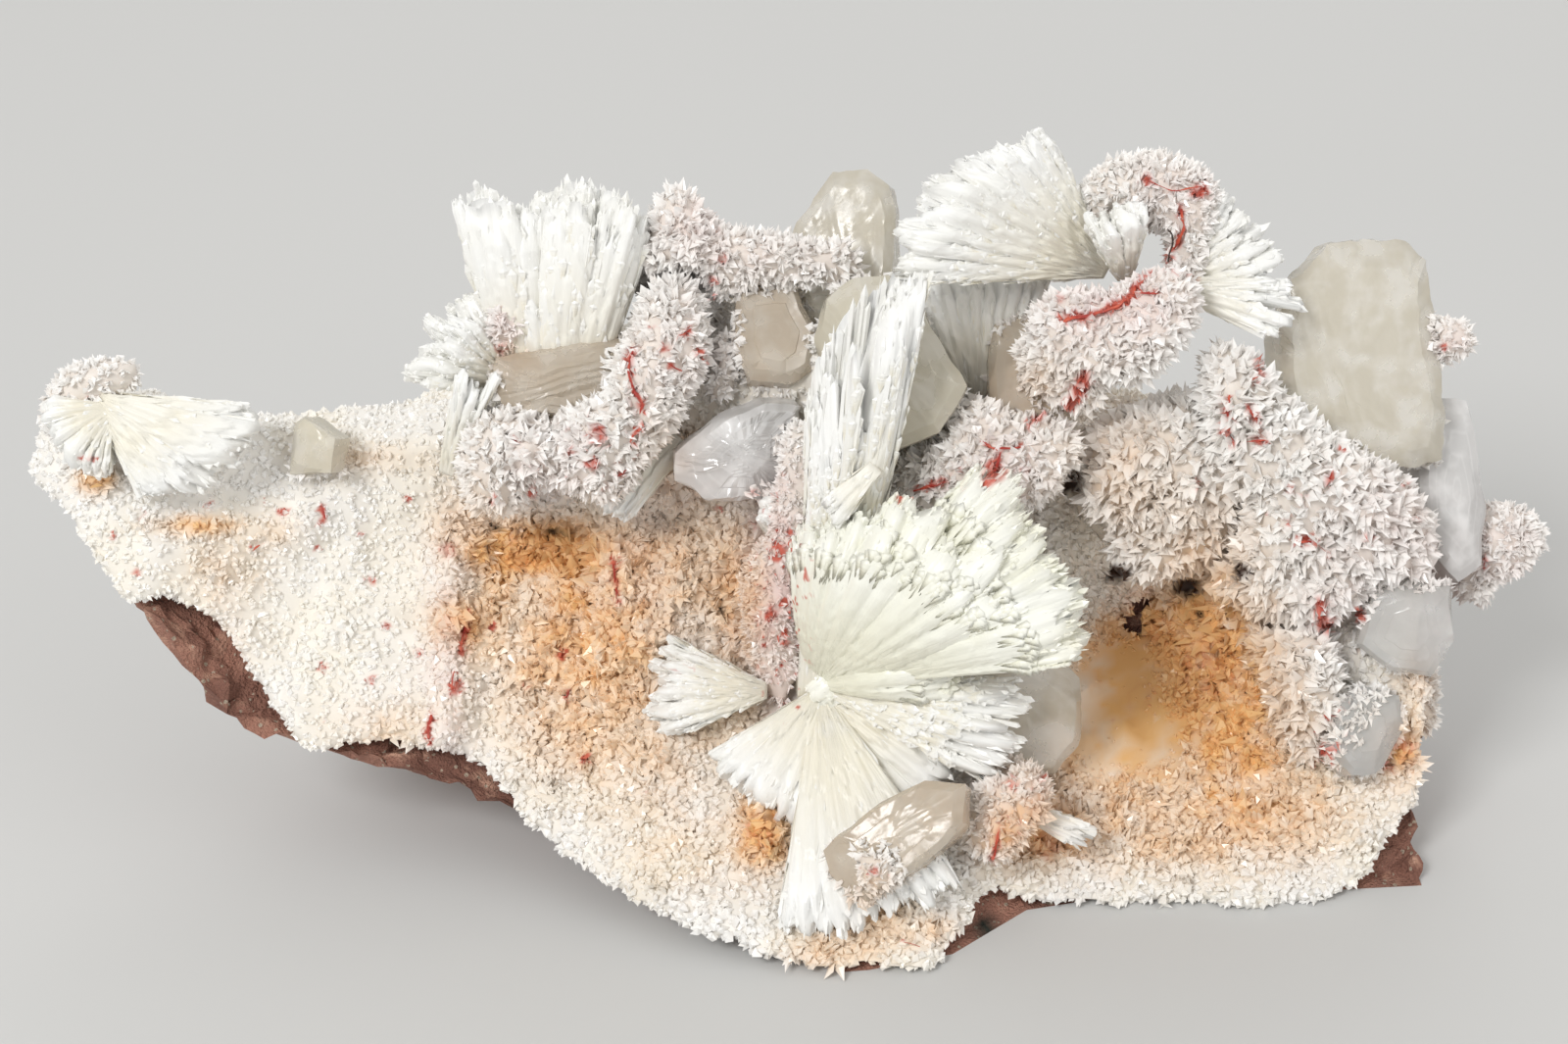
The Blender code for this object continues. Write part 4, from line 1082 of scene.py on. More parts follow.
@dataclass(frozen=True)
class CrystalFinish:
    """Opaque to milky crystals: a foot colour darker than the tip colour, partly their own tint and partly
    painted shade, tone from crystal to crystal, stains.
    """

    name: str
    foot: Colour
    tip: Colour
    shade: Colour
    roughness: float = 0.3
    honey: Colour = (0.78, 0.47, 0.20)
    blush: Colour = (0.80, 0.62, 0.60)
    red: Colour = (0.56, 0.10, 0.06)
    patch: float = 5.0
    tones: float = 0.35
    patchy: float = 0.5
    fibrous: bool = False

    def make(self) -> bpy.types.Material:
        """Builds the material.

        Returns:
            The material.
        """
        material, nodes, shader = new_finish(self.name)
        grain = nodes.group(GRAIN_GROUP, Patch=self.patch, Grain=0.35)
        # Painted shade: the foot colour, darker than the tip, stands in partly for the shade deep between
        # the crystals' roots, and is partly their own cream tint.
        low = 0.35 if self.fibrous else 0.0
        body = nodes.mix(nodes.between(nodes.mark("along"), low, 0.95), self.foot, self.tip)
        veil = nodes.between(grain["Patches"], 0.38, 0.66)
        veiled = nodes.math("MULTIPLY", veil, self.patchy)
        tone = nodes.math("MULTIPLY_ADD", nodes.mark("tone"), 0.5 * self.tones, veiled)
        toned = nodes.mix(nodes.math("MAXIMUM", tone, 0.0), body, self.shade)
        stained_and_shaded = nodes.group(STAIN_AND_SHADE_GROUP, Colour=toned, Honey=self.honey, Blush=self.blush,
                              Red=self.red)
        nodes.feed(shader.inputs["Base Color"], stained_and_shaded["Colour"])
        rough = nodes.math("MULTIPLY_ADD", veil, 0.12, self.roughness - 0.06)
        nodes.feed(shader.inputs["Roughness"], rough)
        shader.inputs["IOR"].default_value = MINERAL_IOR
        if self.fibrous:
            raise_relief(nodes, shader, self.fibres(nodes), 0.12, 0.7)
        return material

    def fibres(self, nodes: Nodes) -> bpy.types.NodeSocket:
        """Draws a noise out along the needles: fine in the across mark, long in the along mark.

        Args:
            nodes: the material's nodes.

        Returns:
            The noise.
        """
        place = nodes.add("ShaderNodeCombineXYZ")
        nodes.feed(place.inputs[0], nodes.mark("across"))
        nodes.feed(place.inputs[1], nodes.math("MULTIPLY", nodes.mark("along"), 3.0))
        return nodes.noise(place.outputs[0], 2.6, 3.0)


@dataclass(frozen=True)
class BlockFinish:
    """A cloudy see-through crystal: veils of another colour, growth lines and absorption."""

    name: str
    body: Colour
    veil: Colour
    depth_colour: Colour
    density: float = 45.0
    clear: float = 0.55
    roughness: float = 0.16
    lines: float = 0.12
    line_depth: float = 0.04

    def make(self) -> bpy.types.Material:
        """Builds the material.

        Returns:
            The material.
        """
        material, nodes, shader = new_finish(self.name)
        grain = nodes.group(GRAIN_GROUP, Patch=3.4, Grain=0.6)
        veil = nodes.between(grain["Patches"], 0.4, 0.68)
        clouded = nodes.mix(veil, self.body, self.veil)
        rings = nodes.math("PINGPONG", nodes.mark("along"), 0.5)
        line = nodes.math("MULTIPLY", nodes.between(rings, 0.34, 0.5), self.lines)
        stained_and_shaded = nodes.group(STAIN_AND_SHADE_GROUP, Colour=nodes.mix(line, clouded, self.veil))
        nodes.feed(shader.inputs["Base Color"], stained_and_shaded["Colour"])
        rough = nodes.math("MULTIPLY_ADD", veil, 0.16, self.roughness)
        nodes.feed(shader.inputs["Roughness"], rough)
        shader.inputs["Transmission Weight"].default_value = self.clear
        shader.inputs["IOR"].default_value = MINERAL_IOR
        height = nodes.math("MULTIPLY_ADD", rings, 3 * self.lines, grain["Relief"])
        raise_relief(nodes, shader, height, self.line_depth, 0.6)
        absorb = nodes.add("ShaderNodeVolumeAbsorption")
        absorb.inputs["Color"].default_value = (*self.depth_colour, 1)
        absorb.inputs["Density"].default_value = self.density
        output = material.node_tree.nodes["Material Output"]
        nodes.feed(output.inputs["Volume"], absorb.outputs["Volume"])
        return material


@dataclass(frozen=True)
class BasaltFinish:
    """Weathered basalt: brown over dark, reddened in patches, with pale and dark grains."""

    name: str = "weathered_basalt"
    dark: Colour = (0.260, 0.120, 0.086)
    brown: Colour = (0.490, 0.240, 0.172)
    warm: Colour = (0.670, 0.390, 0.280)
    pale: Colour = (0.520, 0.420, 0.320)
    green: Colour = (0.020, 0.030, 0.022)
    grain: float = 0.9

    def make(self) -> bpy.types.Material:
        """Builds the material.

        Returns:
            The material.
        """
        material, nodes, shader = new_finish(self.name)
        wide = nodes.group(GRAIN_GROUP, Patch=9.0, Grain=1.3)
        fine = nodes.group(GRAIN_GROUP, Patch=2.2, Grain=0.3)
        base = nodes.mix(nodes.between(wide["Patches"], 0.32, 0.68), self.dark, self.brown)
        base = nodes.mix(nodes.between(fine["Patches"], 0.52, 0.76), base, self.warm)
        cells = nodes.add("ShaderNodeTexVoronoi")
        nodes.feed(cells.inputs["Vector"], nodes.object_place())
        cells.inputs["Scale"].default_value = 1 / (self.grain * MM)
        speck = nodes.math("LESS_THAN", cells.outputs["Distance"], 0.26)
        chosen = nodes.math("GREATER_THAN", wide["Relief"], 0.5)
        base = nodes.mix(nodes.math("MULTIPLY", speck, chosen), base, self.pale)
        base = nodes.mix(nodes.mark("red"), base, self.green)
        nodes.feed(shader.inputs["Base Color"], base)
        shader.inputs["Roughness"].default_value = 0.9
        raise_relief(nodes, shader, nodes.math("ADD", wide["Relief"], fine["Relief"]), 0.8, 1.0)
        return material


@dataclass(frozen=True)
class ThreadFinish:
    """The red mineral of the threads, brighter in patches."""

    name: str = "red_threads"
    dark: Colour = (0.38, 0.03, 0.02)
    bright: Colour = (0.60, 0.10, 0.05)

    def make(self) -> bpy.types.Material:
        """Builds the material.

        Returns:
            The material.
        """
        material, nodes, shader = new_finish(self.name)
        grain = nodes.group(GRAIN_GROUP, Patch=1.6, Grain=0.25)
        share = nodes.between(grain["Patches"], 0.4, 0.65)
        nodes.feed(shader.inputs["Base Color"], nodes.mix(share, self.dark, self.bright))
        shader.inputs["Roughness"].default_value = 0.45
        raise_relief(nodes, shader, grain["Relief"], 0.08, 0.8)
        return material


# Each crystal finish's first colour is its foot's: partly painted shade between the roots, partly the
# crystals' own tint.
WHITE_SPEARS = CrystalFinish("white_spears", (0.80, 0.76, 0.72), (0.96, 0.95, 0.93),
                             (0.88, 0.84, 0.80), roughness=0.24)
SPEAR_BED = CrystalFinish("spear_bed", (0.78, 0.72, 0.66), (0.78, 0.72, 0.66), (0.80, 0.74, 0.67),
                          roughness=0.5)
DRUSE_GRAINS = CrystalFinish("druse_grains", (0.82, 0.79, 0.75), (0.93, 0.92, 0.90),
                             (0.91, 0.87, 0.78), honey=(0.88, 0.55, 0.25), roughness=0.26, patch=9.0,
                             patchy=0.6)
# The druse bed is partly its own pale colour and partly painted light: it is kept lighter than the grains'
# feet, standing in for light glowing through the translucent grains into the shade between them.
DRUSE_BED = CrystalFinish("druse_bed", (0.86, 0.83, 0.78), (0.86, 0.83, 0.78), (0.87, 0.81, 0.70),
                          honey=(0.84, 0.50, 0.20), roughness=0.5, patch=9.0, patchy=0.6)
WHITE_NEEDLES = CrystalFinish("white_needles", (0.84, 0.80, 0.68), (0.91, 0.91, 0.89),
                              (0.84, 0.83, 0.78), roughness=0.36, tones=0.2, fibrous=True)
MILKY_NEEDLES = CrystalFinish("milky_needles", (0.83, 0.82, 0.68), (0.91, 0.91, 0.84),
                              (0.83, 0.82, 0.69), roughness=0.30, tones=0.3, fibrous=True)
GREY_BLOCKS = BlockFinish("grey_crystal", (0.76, 0.71, 0.60), (0.90, 0.87, 0.80),
                          (0.90, 0.86, 0.76), clear=0.4)
CREAM_BLOCKS = BlockFinish("cream_crystal", (0.76, 0.71, 0.58), (0.85, 0.81, 0.71),
                           (0.90, 0.84, 0.70), clear=0.3, roughness=0.2)
TAN_BLOCKS = BlockFinish("tan_crystal", (0.77, 0.66, 0.53), (0.87, 0.79, 0.68),
                         (0.90, 0.80, 0.66), clear=0.45)
ICY_BLOCKS = BlockFinish("icy_crystal", (0.86, 0.86, 0.84), (0.95, 0.95, 0.94), (0.92, 0.92, 0.90),
                         20.0, clear=0.55, roughness=0.14)
PEARLY_BLOCKS = BlockFinish("pearly_crystal", (0.66, 0.65, 0.64), (0.88, 0.87, 0.86),
                            (0.85, 0.85, 0.82), 50.0, clear=0.2, roughness=0.1, lines=0.3)


# The pieces.


@dataclass
class Growth:
    """A growth of the frame: a worn bed set with spearheads, with stains and painted pit shade as the view
    shows.
    """

    node: str
    seed: int
    scale: float = 1.0
    voxel: float = 1.15
    rounds: int = 3
    coat: Coat = Coat()
    clear: float = 0.5
    tint: float = 0.75

    def bed(self) -> Shell:
        """The skin that carries the crystals."""
        return sink_pits(skin_of(self.node, self.voxel * self.scale, self.rounds))

    def build(self, finishes: list[bpy.types.Material]) -> bpy.types.Object:
        """Makes the bed and its crystals.

        Args:
            finishes: the bed's and the crystals'.

        Returns:
            The piece.
        """
        bed, rng = self.bed(), np.random.default_rng(self.seed)
        spears = self.coat.scaled(self.scale).grow(bed, rng, neighbours_of(self.node), self.clear)
        spears.finish = 1
        shells = [stain_and_shade(bed), stain_and_shade(spears, self.tint)]
        return piece_from(self.node + "_crystals", shells, finishes, (self.node,))


@dataclass
class DruseLining:
    """The druse: a lumpy bed, crystals all over what shows of it, larger on the honey slope.

    Lumps are the heights of a wide and a fine noise. Sugary is where along x the crystals start to
    shrink to the left, over what length and by what share. Waxy is by how much they shrink where
    the druse is smooth.
    """

    node: str = "druse_crust"
    seed: int = 5
    voxel: float = 1.1
    rounds: int = 2
    swell: float = 0.45
    lumps: tuple[float, float] = (0.8, 0.45)
    deepest: float = -0.3
    coat: Coat = Coat(0.86, 2, (0.9, 1.7), (0.7, 1.4), 0.55, 0.48, GRAIN)
    rosettes: Coat = Coat(2.2, 5, (1.1, 2.3), (0.6, 1.2), 0.8, 0.2, PETAL)
    clear: tuple[float, float] = (0.5, 1.0)
    pointed: float = 0.25
    scattered: float = 0.35
    larger: float = 0.5
    sugary: tuple[float, float, float] = (-31.0, 8.0, 0.2)
    waxy: float = 0.8
    split: tuple[float, float] = (-22.0, 20.0)

    def bed(self) -> Shell:
        """The skin that carries the crystals, raised in lumps by the two noises.

        Returns:
            The skin.
        """
        bed = skin_of(self.node, self.voxel, self.rounds, self.swell)
        wide, fine = self.lumps
        lump = wide * smooth_noise(bed.points, 6.0, 21) + fine * smooth_noise(bed.points, 2.4, 22)
        bed.points += bed.normals() * np.maximum(lump, self.deepest)[:, None]
        return sink_pits(bed)

    def grains(self, bed: Shell) -> Shell:
        """Sets the crystals: small ones all over, and rosettes where the druse is honey.

        Args:
            bed: the skin.

        Returns:
            The crystals, sized by their place.
        """
        rng, others = np.random.default_rng(self.seed), neighbours_of(self.node)
        small, spiky = (coat.grow(bed, rng, others, clear)
                        for coat, clear in zip((self.coat, self.rosettes), self.clear))
        middles = spiky.points.reshape(-1, EACH, 3).mean(1)
        shown = VIEW.picture(middles)
        honey = patches(shown, HONEY) + self.scattered * smooth_noise(middles, 7.0, 23)
        wanted = honey - patches(shown, SMOOTHED) > self.pointed
        grains = stain_and_shade(joined([small, pick_crystals(spiky, wanted)]))
        blocks = grains.points.reshape(-1, EACH, 3)
        roots = blocks[:, :1]
        growth = 1 + self.larger * grains.marks["honey"].reshape(-1, EACH).mean(1)
        start, fade, smaller = self.sugary
        growth -= smaller * np.clip((start - roots[:, 0, 0]) / fade, 0, 1)
        growth *= 1 - self.waxy * patches(VIEW.picture(roots[:, 0]), SMOOTHED)
        grains.points = (roots + (blocks - roots) * growth[:, None, None]).reshape(-1, 3)
        grains.finish = 1
        return grains

    def build(self, finishes: list[bpy.types.Material]) -> list[bpy.types.Object]:
        """Makes the bed, sets the crystals and shares them among pieces by their place along x.

        Args:
            finishes: the bed's and the crystals'.

        Returns:
            The pieces, the first with the bed.
        """
        bed = self.bed()
        grains = self.grains(bed)
        place = grains.points[::EACH, 0]
        bounds = (-math.inf, *self.split, math.inf)
        pieces: list[bpy.types.Object] = []
        for side, low, high in zip(("left", "middle", "right"), bounds, bounds[1:]):
            shells = [pick_crystals(grains, (place >= low) & (place < high))]
            if not pieces:
                shells.append(stain_and_shade(bed))
            pieces.append(piece_from("druse_" + side, shells, finishes, (self.node,)))
        return pieces


@dataclass
class BasaltPlate:
    """The rock: its solid's faces divided, then worn by noise, with its underside left flat.

    Lumps and grit are heights and sizes of noises. Cracks are a depth, a size and how much flatter
    than tall their noise is. Covered is how near a neighbour is where the rock stays so far under.
    """

    node: str = "basalt_matrix"
    divisions: int = 3
    flat: float = 0.05
    lumps: tuple[float, float] = (1.3, 6.0)
    grit: tuple[float, float] = (0.6, 0.9)
    cracks: tuple[float, float, float] = (1.4, 11.0, 1.8)
    covered: tuple[float, float] = (2.5, -0.8)
    vesicle: tuple[float, float, float] = (20.6, -41.4, 1.1)

    def wear(self, points: Array) -> Array:
        """How far noise moves each point: lumps and grit, less the cracks where a noise is near 0.

        Args:
            points: the rock's points.

        Returns:
            The distances along the normals, in millimetres.
        """
        height, size = self.lumps
        wear = height * layered_noise(points, size, 3, 31)
        height, size = self.grit
        wear += height * smooth_noise(points, size, 37)
        depth, size, flatter = self.cracks
        cracks = np.abs(layered_noise(points * (1, 1, flatter), size, 3, 33))
        wear -= depth * np.clip(1 - 4 * cracks, 0, 1)
        near, under = self.covered
        away = distance_to(neighbours_of(self.node), points)
        return np.where(away < near, np.minimum(wear, under), wear)

    def build(self, finishes: list[bpy.types.Material]) -> bpy.types.Object:
        """Makes the rock, each point moved along its normal by the wear and never below 0.

        Args:
            finishes: the rock's.

        Returns:
            The piece.
        """
        rock = merged_copy(self.node)
        finer = rock.modifiers.new("finer", "SUBSURF")
        finer.subdivision_type = "SIMPLE"
        finer.levels = finer.render_levels = self.divisions
        shell = worked_out(rock)
        shell.smooth = False
        stands = shell.points[:, 2] > self.flat
        shell.points += shell.normals() * np.where(stands, self.wear(shell.points), 0)[:, None]
        shell.points[:, 2] = np.maximum(shell.points[:, 2], np.where(stands, 0.02, 0))
        right, up, radius = self.vesicle
        off = np.hypot(*(VIEW.picture(shell.points) - (right, up)).T)
        front = shell.points[:, 1] < 0
        shell.marks["red"] = np.where(front, np.clip(1.6 - off / radius, 0, 1), 0)
        return piece_from("basalt_rock", [shell], finishes, (self.node,))


@dataclass(frozen=True)
class Fan:
    """A fan of a spray, as its solid has it: a body parted in fingers, needles and blades.

    a and b run from -1 to 1 across and through the fan. Swing is spread × a, drawn together in
    each finger by squeeze. Lift is thick × b × (1 - flattened × a²) × (1 - groove × u²), where u
    runs from -1 to 1 across a finger. A ray is (sin swing, sin lift, cos swing cos lift), and the
    reach along it is length × (1 + slant a), less notch × |u|³ and less ragged × the finger's draw.
    """

    root: Place
    tip: Place
    spread: float
    thick: float
    ragged: float
    roll: float = 0.0
    slant: float = 0.0
    milky: bool = False
    lobes: int = 6
    notch: float = 0.12
    scaly: float = 1.0
    squeeze: float = 0.0
    uneven: float = 0.5
    groove: float = 0.2
    bulge: float = 0.5
    cap: float = 0.1
    waist: float = 0.8
    blade: tuple[float, float] = (1.8, 4.0)
    wide: tuple[float, float] = (0.5, 1.1)
    tipped: float = 0.3
    proud: float = 0.3
    bare: float = 0.1
    plates: float = 0.35
    grid: float = 0.6
    flattened: float = 0.45
    rim: float = 0.96

    def bearings(self) -> tuple[Array, Array, float]:
        """Works out where the fan lies.

        Returns:
            The root, the three directions as rows (across, through, along) and the length.
        """
        start, end = VIEW.place(*self.root), VIEW.place(*self.tip)
        length = float(np.linalg.norm(end - start))
        axis = (end - start) / length
        across = unit(np.cross(axis, VIEW.place(0, 0, 1) - VIEW.place(0, 0, 0)))
        through = np.cross(axis, across)
        turn = math.radians(self.roll)
        first = math.cos(turn) * across + math.sin(turn) * through
        second = math.cos(turn) * through - math.sin(turn) * across
        return start, np.stack([first, second, axis]), length

    def span(self) -> tuple[float, float]:
        """The arc between the fan's sides and its depth between its faces, in millimetres."""
        _, _, length = self.bearings()
        return 2 * math.radians(self.spread) * length, 2 * math.radians(self.thick) * length

    def seed(self) -> int:
        """A number of the fan's own, from its tip's place."""
        return round(abs(self.tip[0] * 7 + self.tip[1] * 13))

    def finger(self, a: Array, b: Array) -> tuple[Array, Array]:
        """Finds the finger at (a, b).

        Args:
            a: places across the fan.
            b: places through it.

        Returns:
            The finger's number, and how far across it each place is, from -1 to 1.
        """
        wide = self.uneven * smooth_noise(np.stack([a * 2.1, b * 1.3, a * 0], -1), 1.0, self.seed())
        place = (a + 1) / 2 * self.lobes + wide + 0.3 * b
        return np.floor(place), 2 * (place % 1) - 1

    def reach(self, a: Array, b: Array) -> Array:
        """How far the fan goes at (a, b), by its fingers and small steps.

        Args:
            a: places across the fan.
            b: places through it.

        Returns:
            The lengths, in millimetres.
        """
        _, _, length = self.bearings()
        number, off = self.finger(a, b)
        own = (lattice_values(np.stack([number, np.round(b * 1.2), number * 0], -1), self.seed()) + 1) / 2
        steps = np.stack([a * self.lobes * 4, b * 5, a * 0], -1)
        small = 0.02 * smooth_noise(steps, 1.0, self.seed() + 1)
        shorter = self.ragged * own + self.notch * np.abs(off) ** 3
        return length * (1 + self.slant * a) * (1 - shorter + small)

    def place(self, a: Array, b: Array, share: Array) -> Array:
        """Finds the point at a share of the reach along (a, b).

        It is lifted through the fan by bulge × sin(π share) and set apart by a waist of (a, b)
        millimetres that narrows to nothing at the tips.

        Args:
            a: places across the fan.
            b: places through it.
            share: shares of the reach.

        Returns:
            The points.
        """
        start, axes, _ = self.bearings()
        _, off = self.finger(a, b)
        sunk = 1 - self.groove * off**2 * np.minimum(1, 1.6 * share)
        through = b * (1 - self.flattened * a * a) * sunk
        swing = math.radians(self.spread) * (a - self.squeeze * off / self.lobes)
        lift = math.radians(self.thick) * through
        ray = unit(np.stack([np.sin(swing), np.sin(lift), np.cos(swing) * np.cos(lift)], -1))
        local = ray * (share * self.reach(a, b) * (1 - self.cap * b * b * share**4))[:, None]
        local[:, 0] += self.waist * a * (1 - share)
        local[:, 1] += self.bulge * through * np.sin(math.pi * share) + self.waist * b * (1 - share)
        return start + local @ axes

    def needles(self, pitch: float, rng: np.random.Generator) -> Shell:
        """The needles at the rim, on a shaken grid of (a, b), each from the body to the reach.

        Args:
            pitch: the distance between needles at the tips.
            rng: draws the fan's irregularities.

        Returns:
            The needles.
        """
        arc, depth = self.span()
        columns, layers = max(7, round(arc / pitch)), max(4, round(depth / (1.7 * pitch)))
        i, j = (grid.ravel() for grid in np.meshgrid(np.arange(columns), np.arange(layers)))
        a = 2 * (i + 0.5 + rng.uniform(-0.35, 0.35, i.size)) / columns - 1
        b = np.clip(2 * (j + rng.uniform(-0.3, 0.3, i.size)) / (layers - 1) - 1, -1, 1)
        foot = self.place(a, b, rng.uniform(0.15, 0.6, i.size))
        tips = self.place(a, b, 1 - 0.05 * rng.random(i.size) - 0.12 * b * b * rng.random(i.size))
        whole = np.linalg.norm(tips - foot, axis=1)
        widths = pitch * rng.uniform(1.2, 1.9, i.size)
        return crystals(foot, unit(tips - foot), whole, widths, NEEDLE, rng)

    def scales(self, rng: np.random.Generator) -> Shell:
        """Short flat blades that lie on the fan's faces and edges like shingles.

        A blade's tip stands a little proud of the place at its share of the reach. Its axis is the
        way of the surface there, tipped outwards, and its broad side looks out of the fan.

        Args:
            rng: draws the blades.

        Returns:
            The blades.
        """
        _, axes, length = self.bearings()
        count = int(self.scaly * self.span()[0] * length * 0.8)
        a = rng.uniform(-1, 1, count)
        side = rng.integers(0, 6, count)
        edge = side == 5
        b = np.where(edge, rng.uniform(-1, 1, count), np.where(side < 3, -1.0, 1.0))
        a = np.where(edge, np.sign(a), a)
        share = self.bare + (0.98 - self.bare) * rng.random(count) ** 0.6
        out = unit(np.where(edge[:, None], a[:, None] * axes[0], b[:, None] * axes[1]))
        lengths = np.minimum(rng.uniform(*self.blade, count), 0.8 * share * length)
        tips = self.place(a, b, share)
        below = self.place(a, b, share - np.minimum(lengths / length, 0.9 * share))
        lean = unit(unit(tips - below) + out * rng.uniform(0.03, self.tipped, count)[:, None])
        tips = tips + out * rng.uniform(0.0, self.proud, count)[:, None]
        widths = rng.uniform(*self.wide, count) * (0.6 + 0.4 * share)
        blades = crystals(tips - lean * lengths[:, None], lean, lengths, widths, BLADE, rng, out)
        blades.smooth = self.milky
        return blades

    def shingles(self, across: Array, along: Array, b: Array) -> Array:
        """How far the overlapping plates of a face stand out.

        Each column of plates is so wide, with a border swayed by noise, and a plate rises evenly
        from nothing to its full height at its end. It is also rounded across, as 1 - u².

        Args:
            across: places across the face, in millimetres.
            along: places along it.
            b: places through the fan, near -1 or 1 on a face.

        Returns:
            The heights, in millimetres.
        """
        seed = self.seed() + 3
        bend = 0.5 * smooth_noise(np.stack([across, along / 5, b], 1), 3.0, seed)
        place = across / (1.2 * self.wide[1]) + bend
        column = np.stack([np.floor(place), np.sign(b), 0 * b], 1)
        shaken = 0.4 * smooth_noise(np.stack([across, along, b], 1), 2.0, seed)
        rise = (along / self.blade[1] + (lattice_values(column, seed) + shaken)) % 1
        rounded = 1 - (2 * (place % 1) - 1) ** 2
        return self.plates * (rise + 0.5 * rounded) * np.clip(along / 3, 0, 1) * (np.abs(b) > 0.9)

    def body(self) -> Shell:
        """The fan's body: at each a, a profile up the far face, over the rim and down the near one.

        Returns:
            The body, with along and across marked for the fibres.
        """
        _, axes, length = self.bearings()
        arc, _ = self.span()
        stations = round(length / self.grid)
        up, over = np.linspace(0.0, 0.94, stations), np.linspace(1, -1, 7)[1:-1]
        b = np.concatenate([np.ones(stations), over, -np.ones(stations)])
        share = np.concatenate([up, np.full(len(over), self.rim), up[::-1]])
        rows, around = round(arc / self.grid) + 10, len(b)
        a = np.repeat(np.linspace(-0.97, 0.97, rows), around)
        b, share = np.tile(self.rim * b, rows), np.tile(share, rows)
        points = self.place(a, b, share)
        points += (np.sign(b) * self.shingles(a * arc / 2, share * length, b))[:, None] * axes[1]
        shell = grid_shell(points, rows, around)
        shell.smooth = True
        shell.marks["along"] = np.concatenate([share, [0.5, 0.5]])
        shell.marks["across"] = np.concatenate([a * math.radians(self.spread) * length, [0, 0]])
        return shell


@dataclass
class SprayGroup:
    """The fans that share a knot, and the knot as lumpy balls."""

    node: str
    seed: int
    fans: tuple[Fan, ...]
    knots: tuple[tuple[float, float, float, float], ...] = ()
    pitch: float = 0.5
    tint: float = 0.1

    def knot(self, right: float, up: float, y: float, radius: float) -> Shell:
        """A ball whose radius is worn by noise: rings of latitude, each a circle.

        Args:
            right: millimetres right of the view's middle.
            up: millimetres up from it.
            y: its depth.
            radius: its radius.

        Returns:
            The ball.
        """
        rows, around = 15, 24
        rise = np.repeat(np.linspace(-0.47, 0.47, rows) * math.pi, around)
        turn = np.tile(np.linspace(0, TAU, around, endpoint=False), rows)
        ray = np.stack([np.cos(rise) * np.cos(turn), np.cos(rise) * np.sin(turn), np.sin(rise)], 1)
        middle = VIEW.place(right, up, y)
        worn = radius * (1 + 0.3 * layered_noise(middle + ray * radius, 1.8, 2, 9))
        shell = grid_shell(middle + ray * worn[:, None], rows, around)
        shell.smooth = True
        return shell

    def build(self, finishes: list[bpy.types.Material]) -> bpy.types.Object:
        """Makes the group.

        Args:
            finishes: the white needles' and the milky ones'.

        Returns:
            The piece.
        """
        rng = np.random.default_rng(self.seed)
        shells = [stain_and_shade(self.knot(*knot)) for knot in self.knots]
        for fan in self.fans:
            for shell in (fan.needles(self.pitch, rng), fan.scales(rng), fan.body()):
                shell.finish = int(fan.milky)
                shells.append(stain_and_shade(shell, self.tint))
        return piece_from(self.node + "_needles", shells, finishes, (self.node,))


# The crystals of the growths that lap over a block's edges.
LAPS = Coat(0.8, 2, (0.9, 1.8), (0.6, 1.2), 0.6, 0.4)


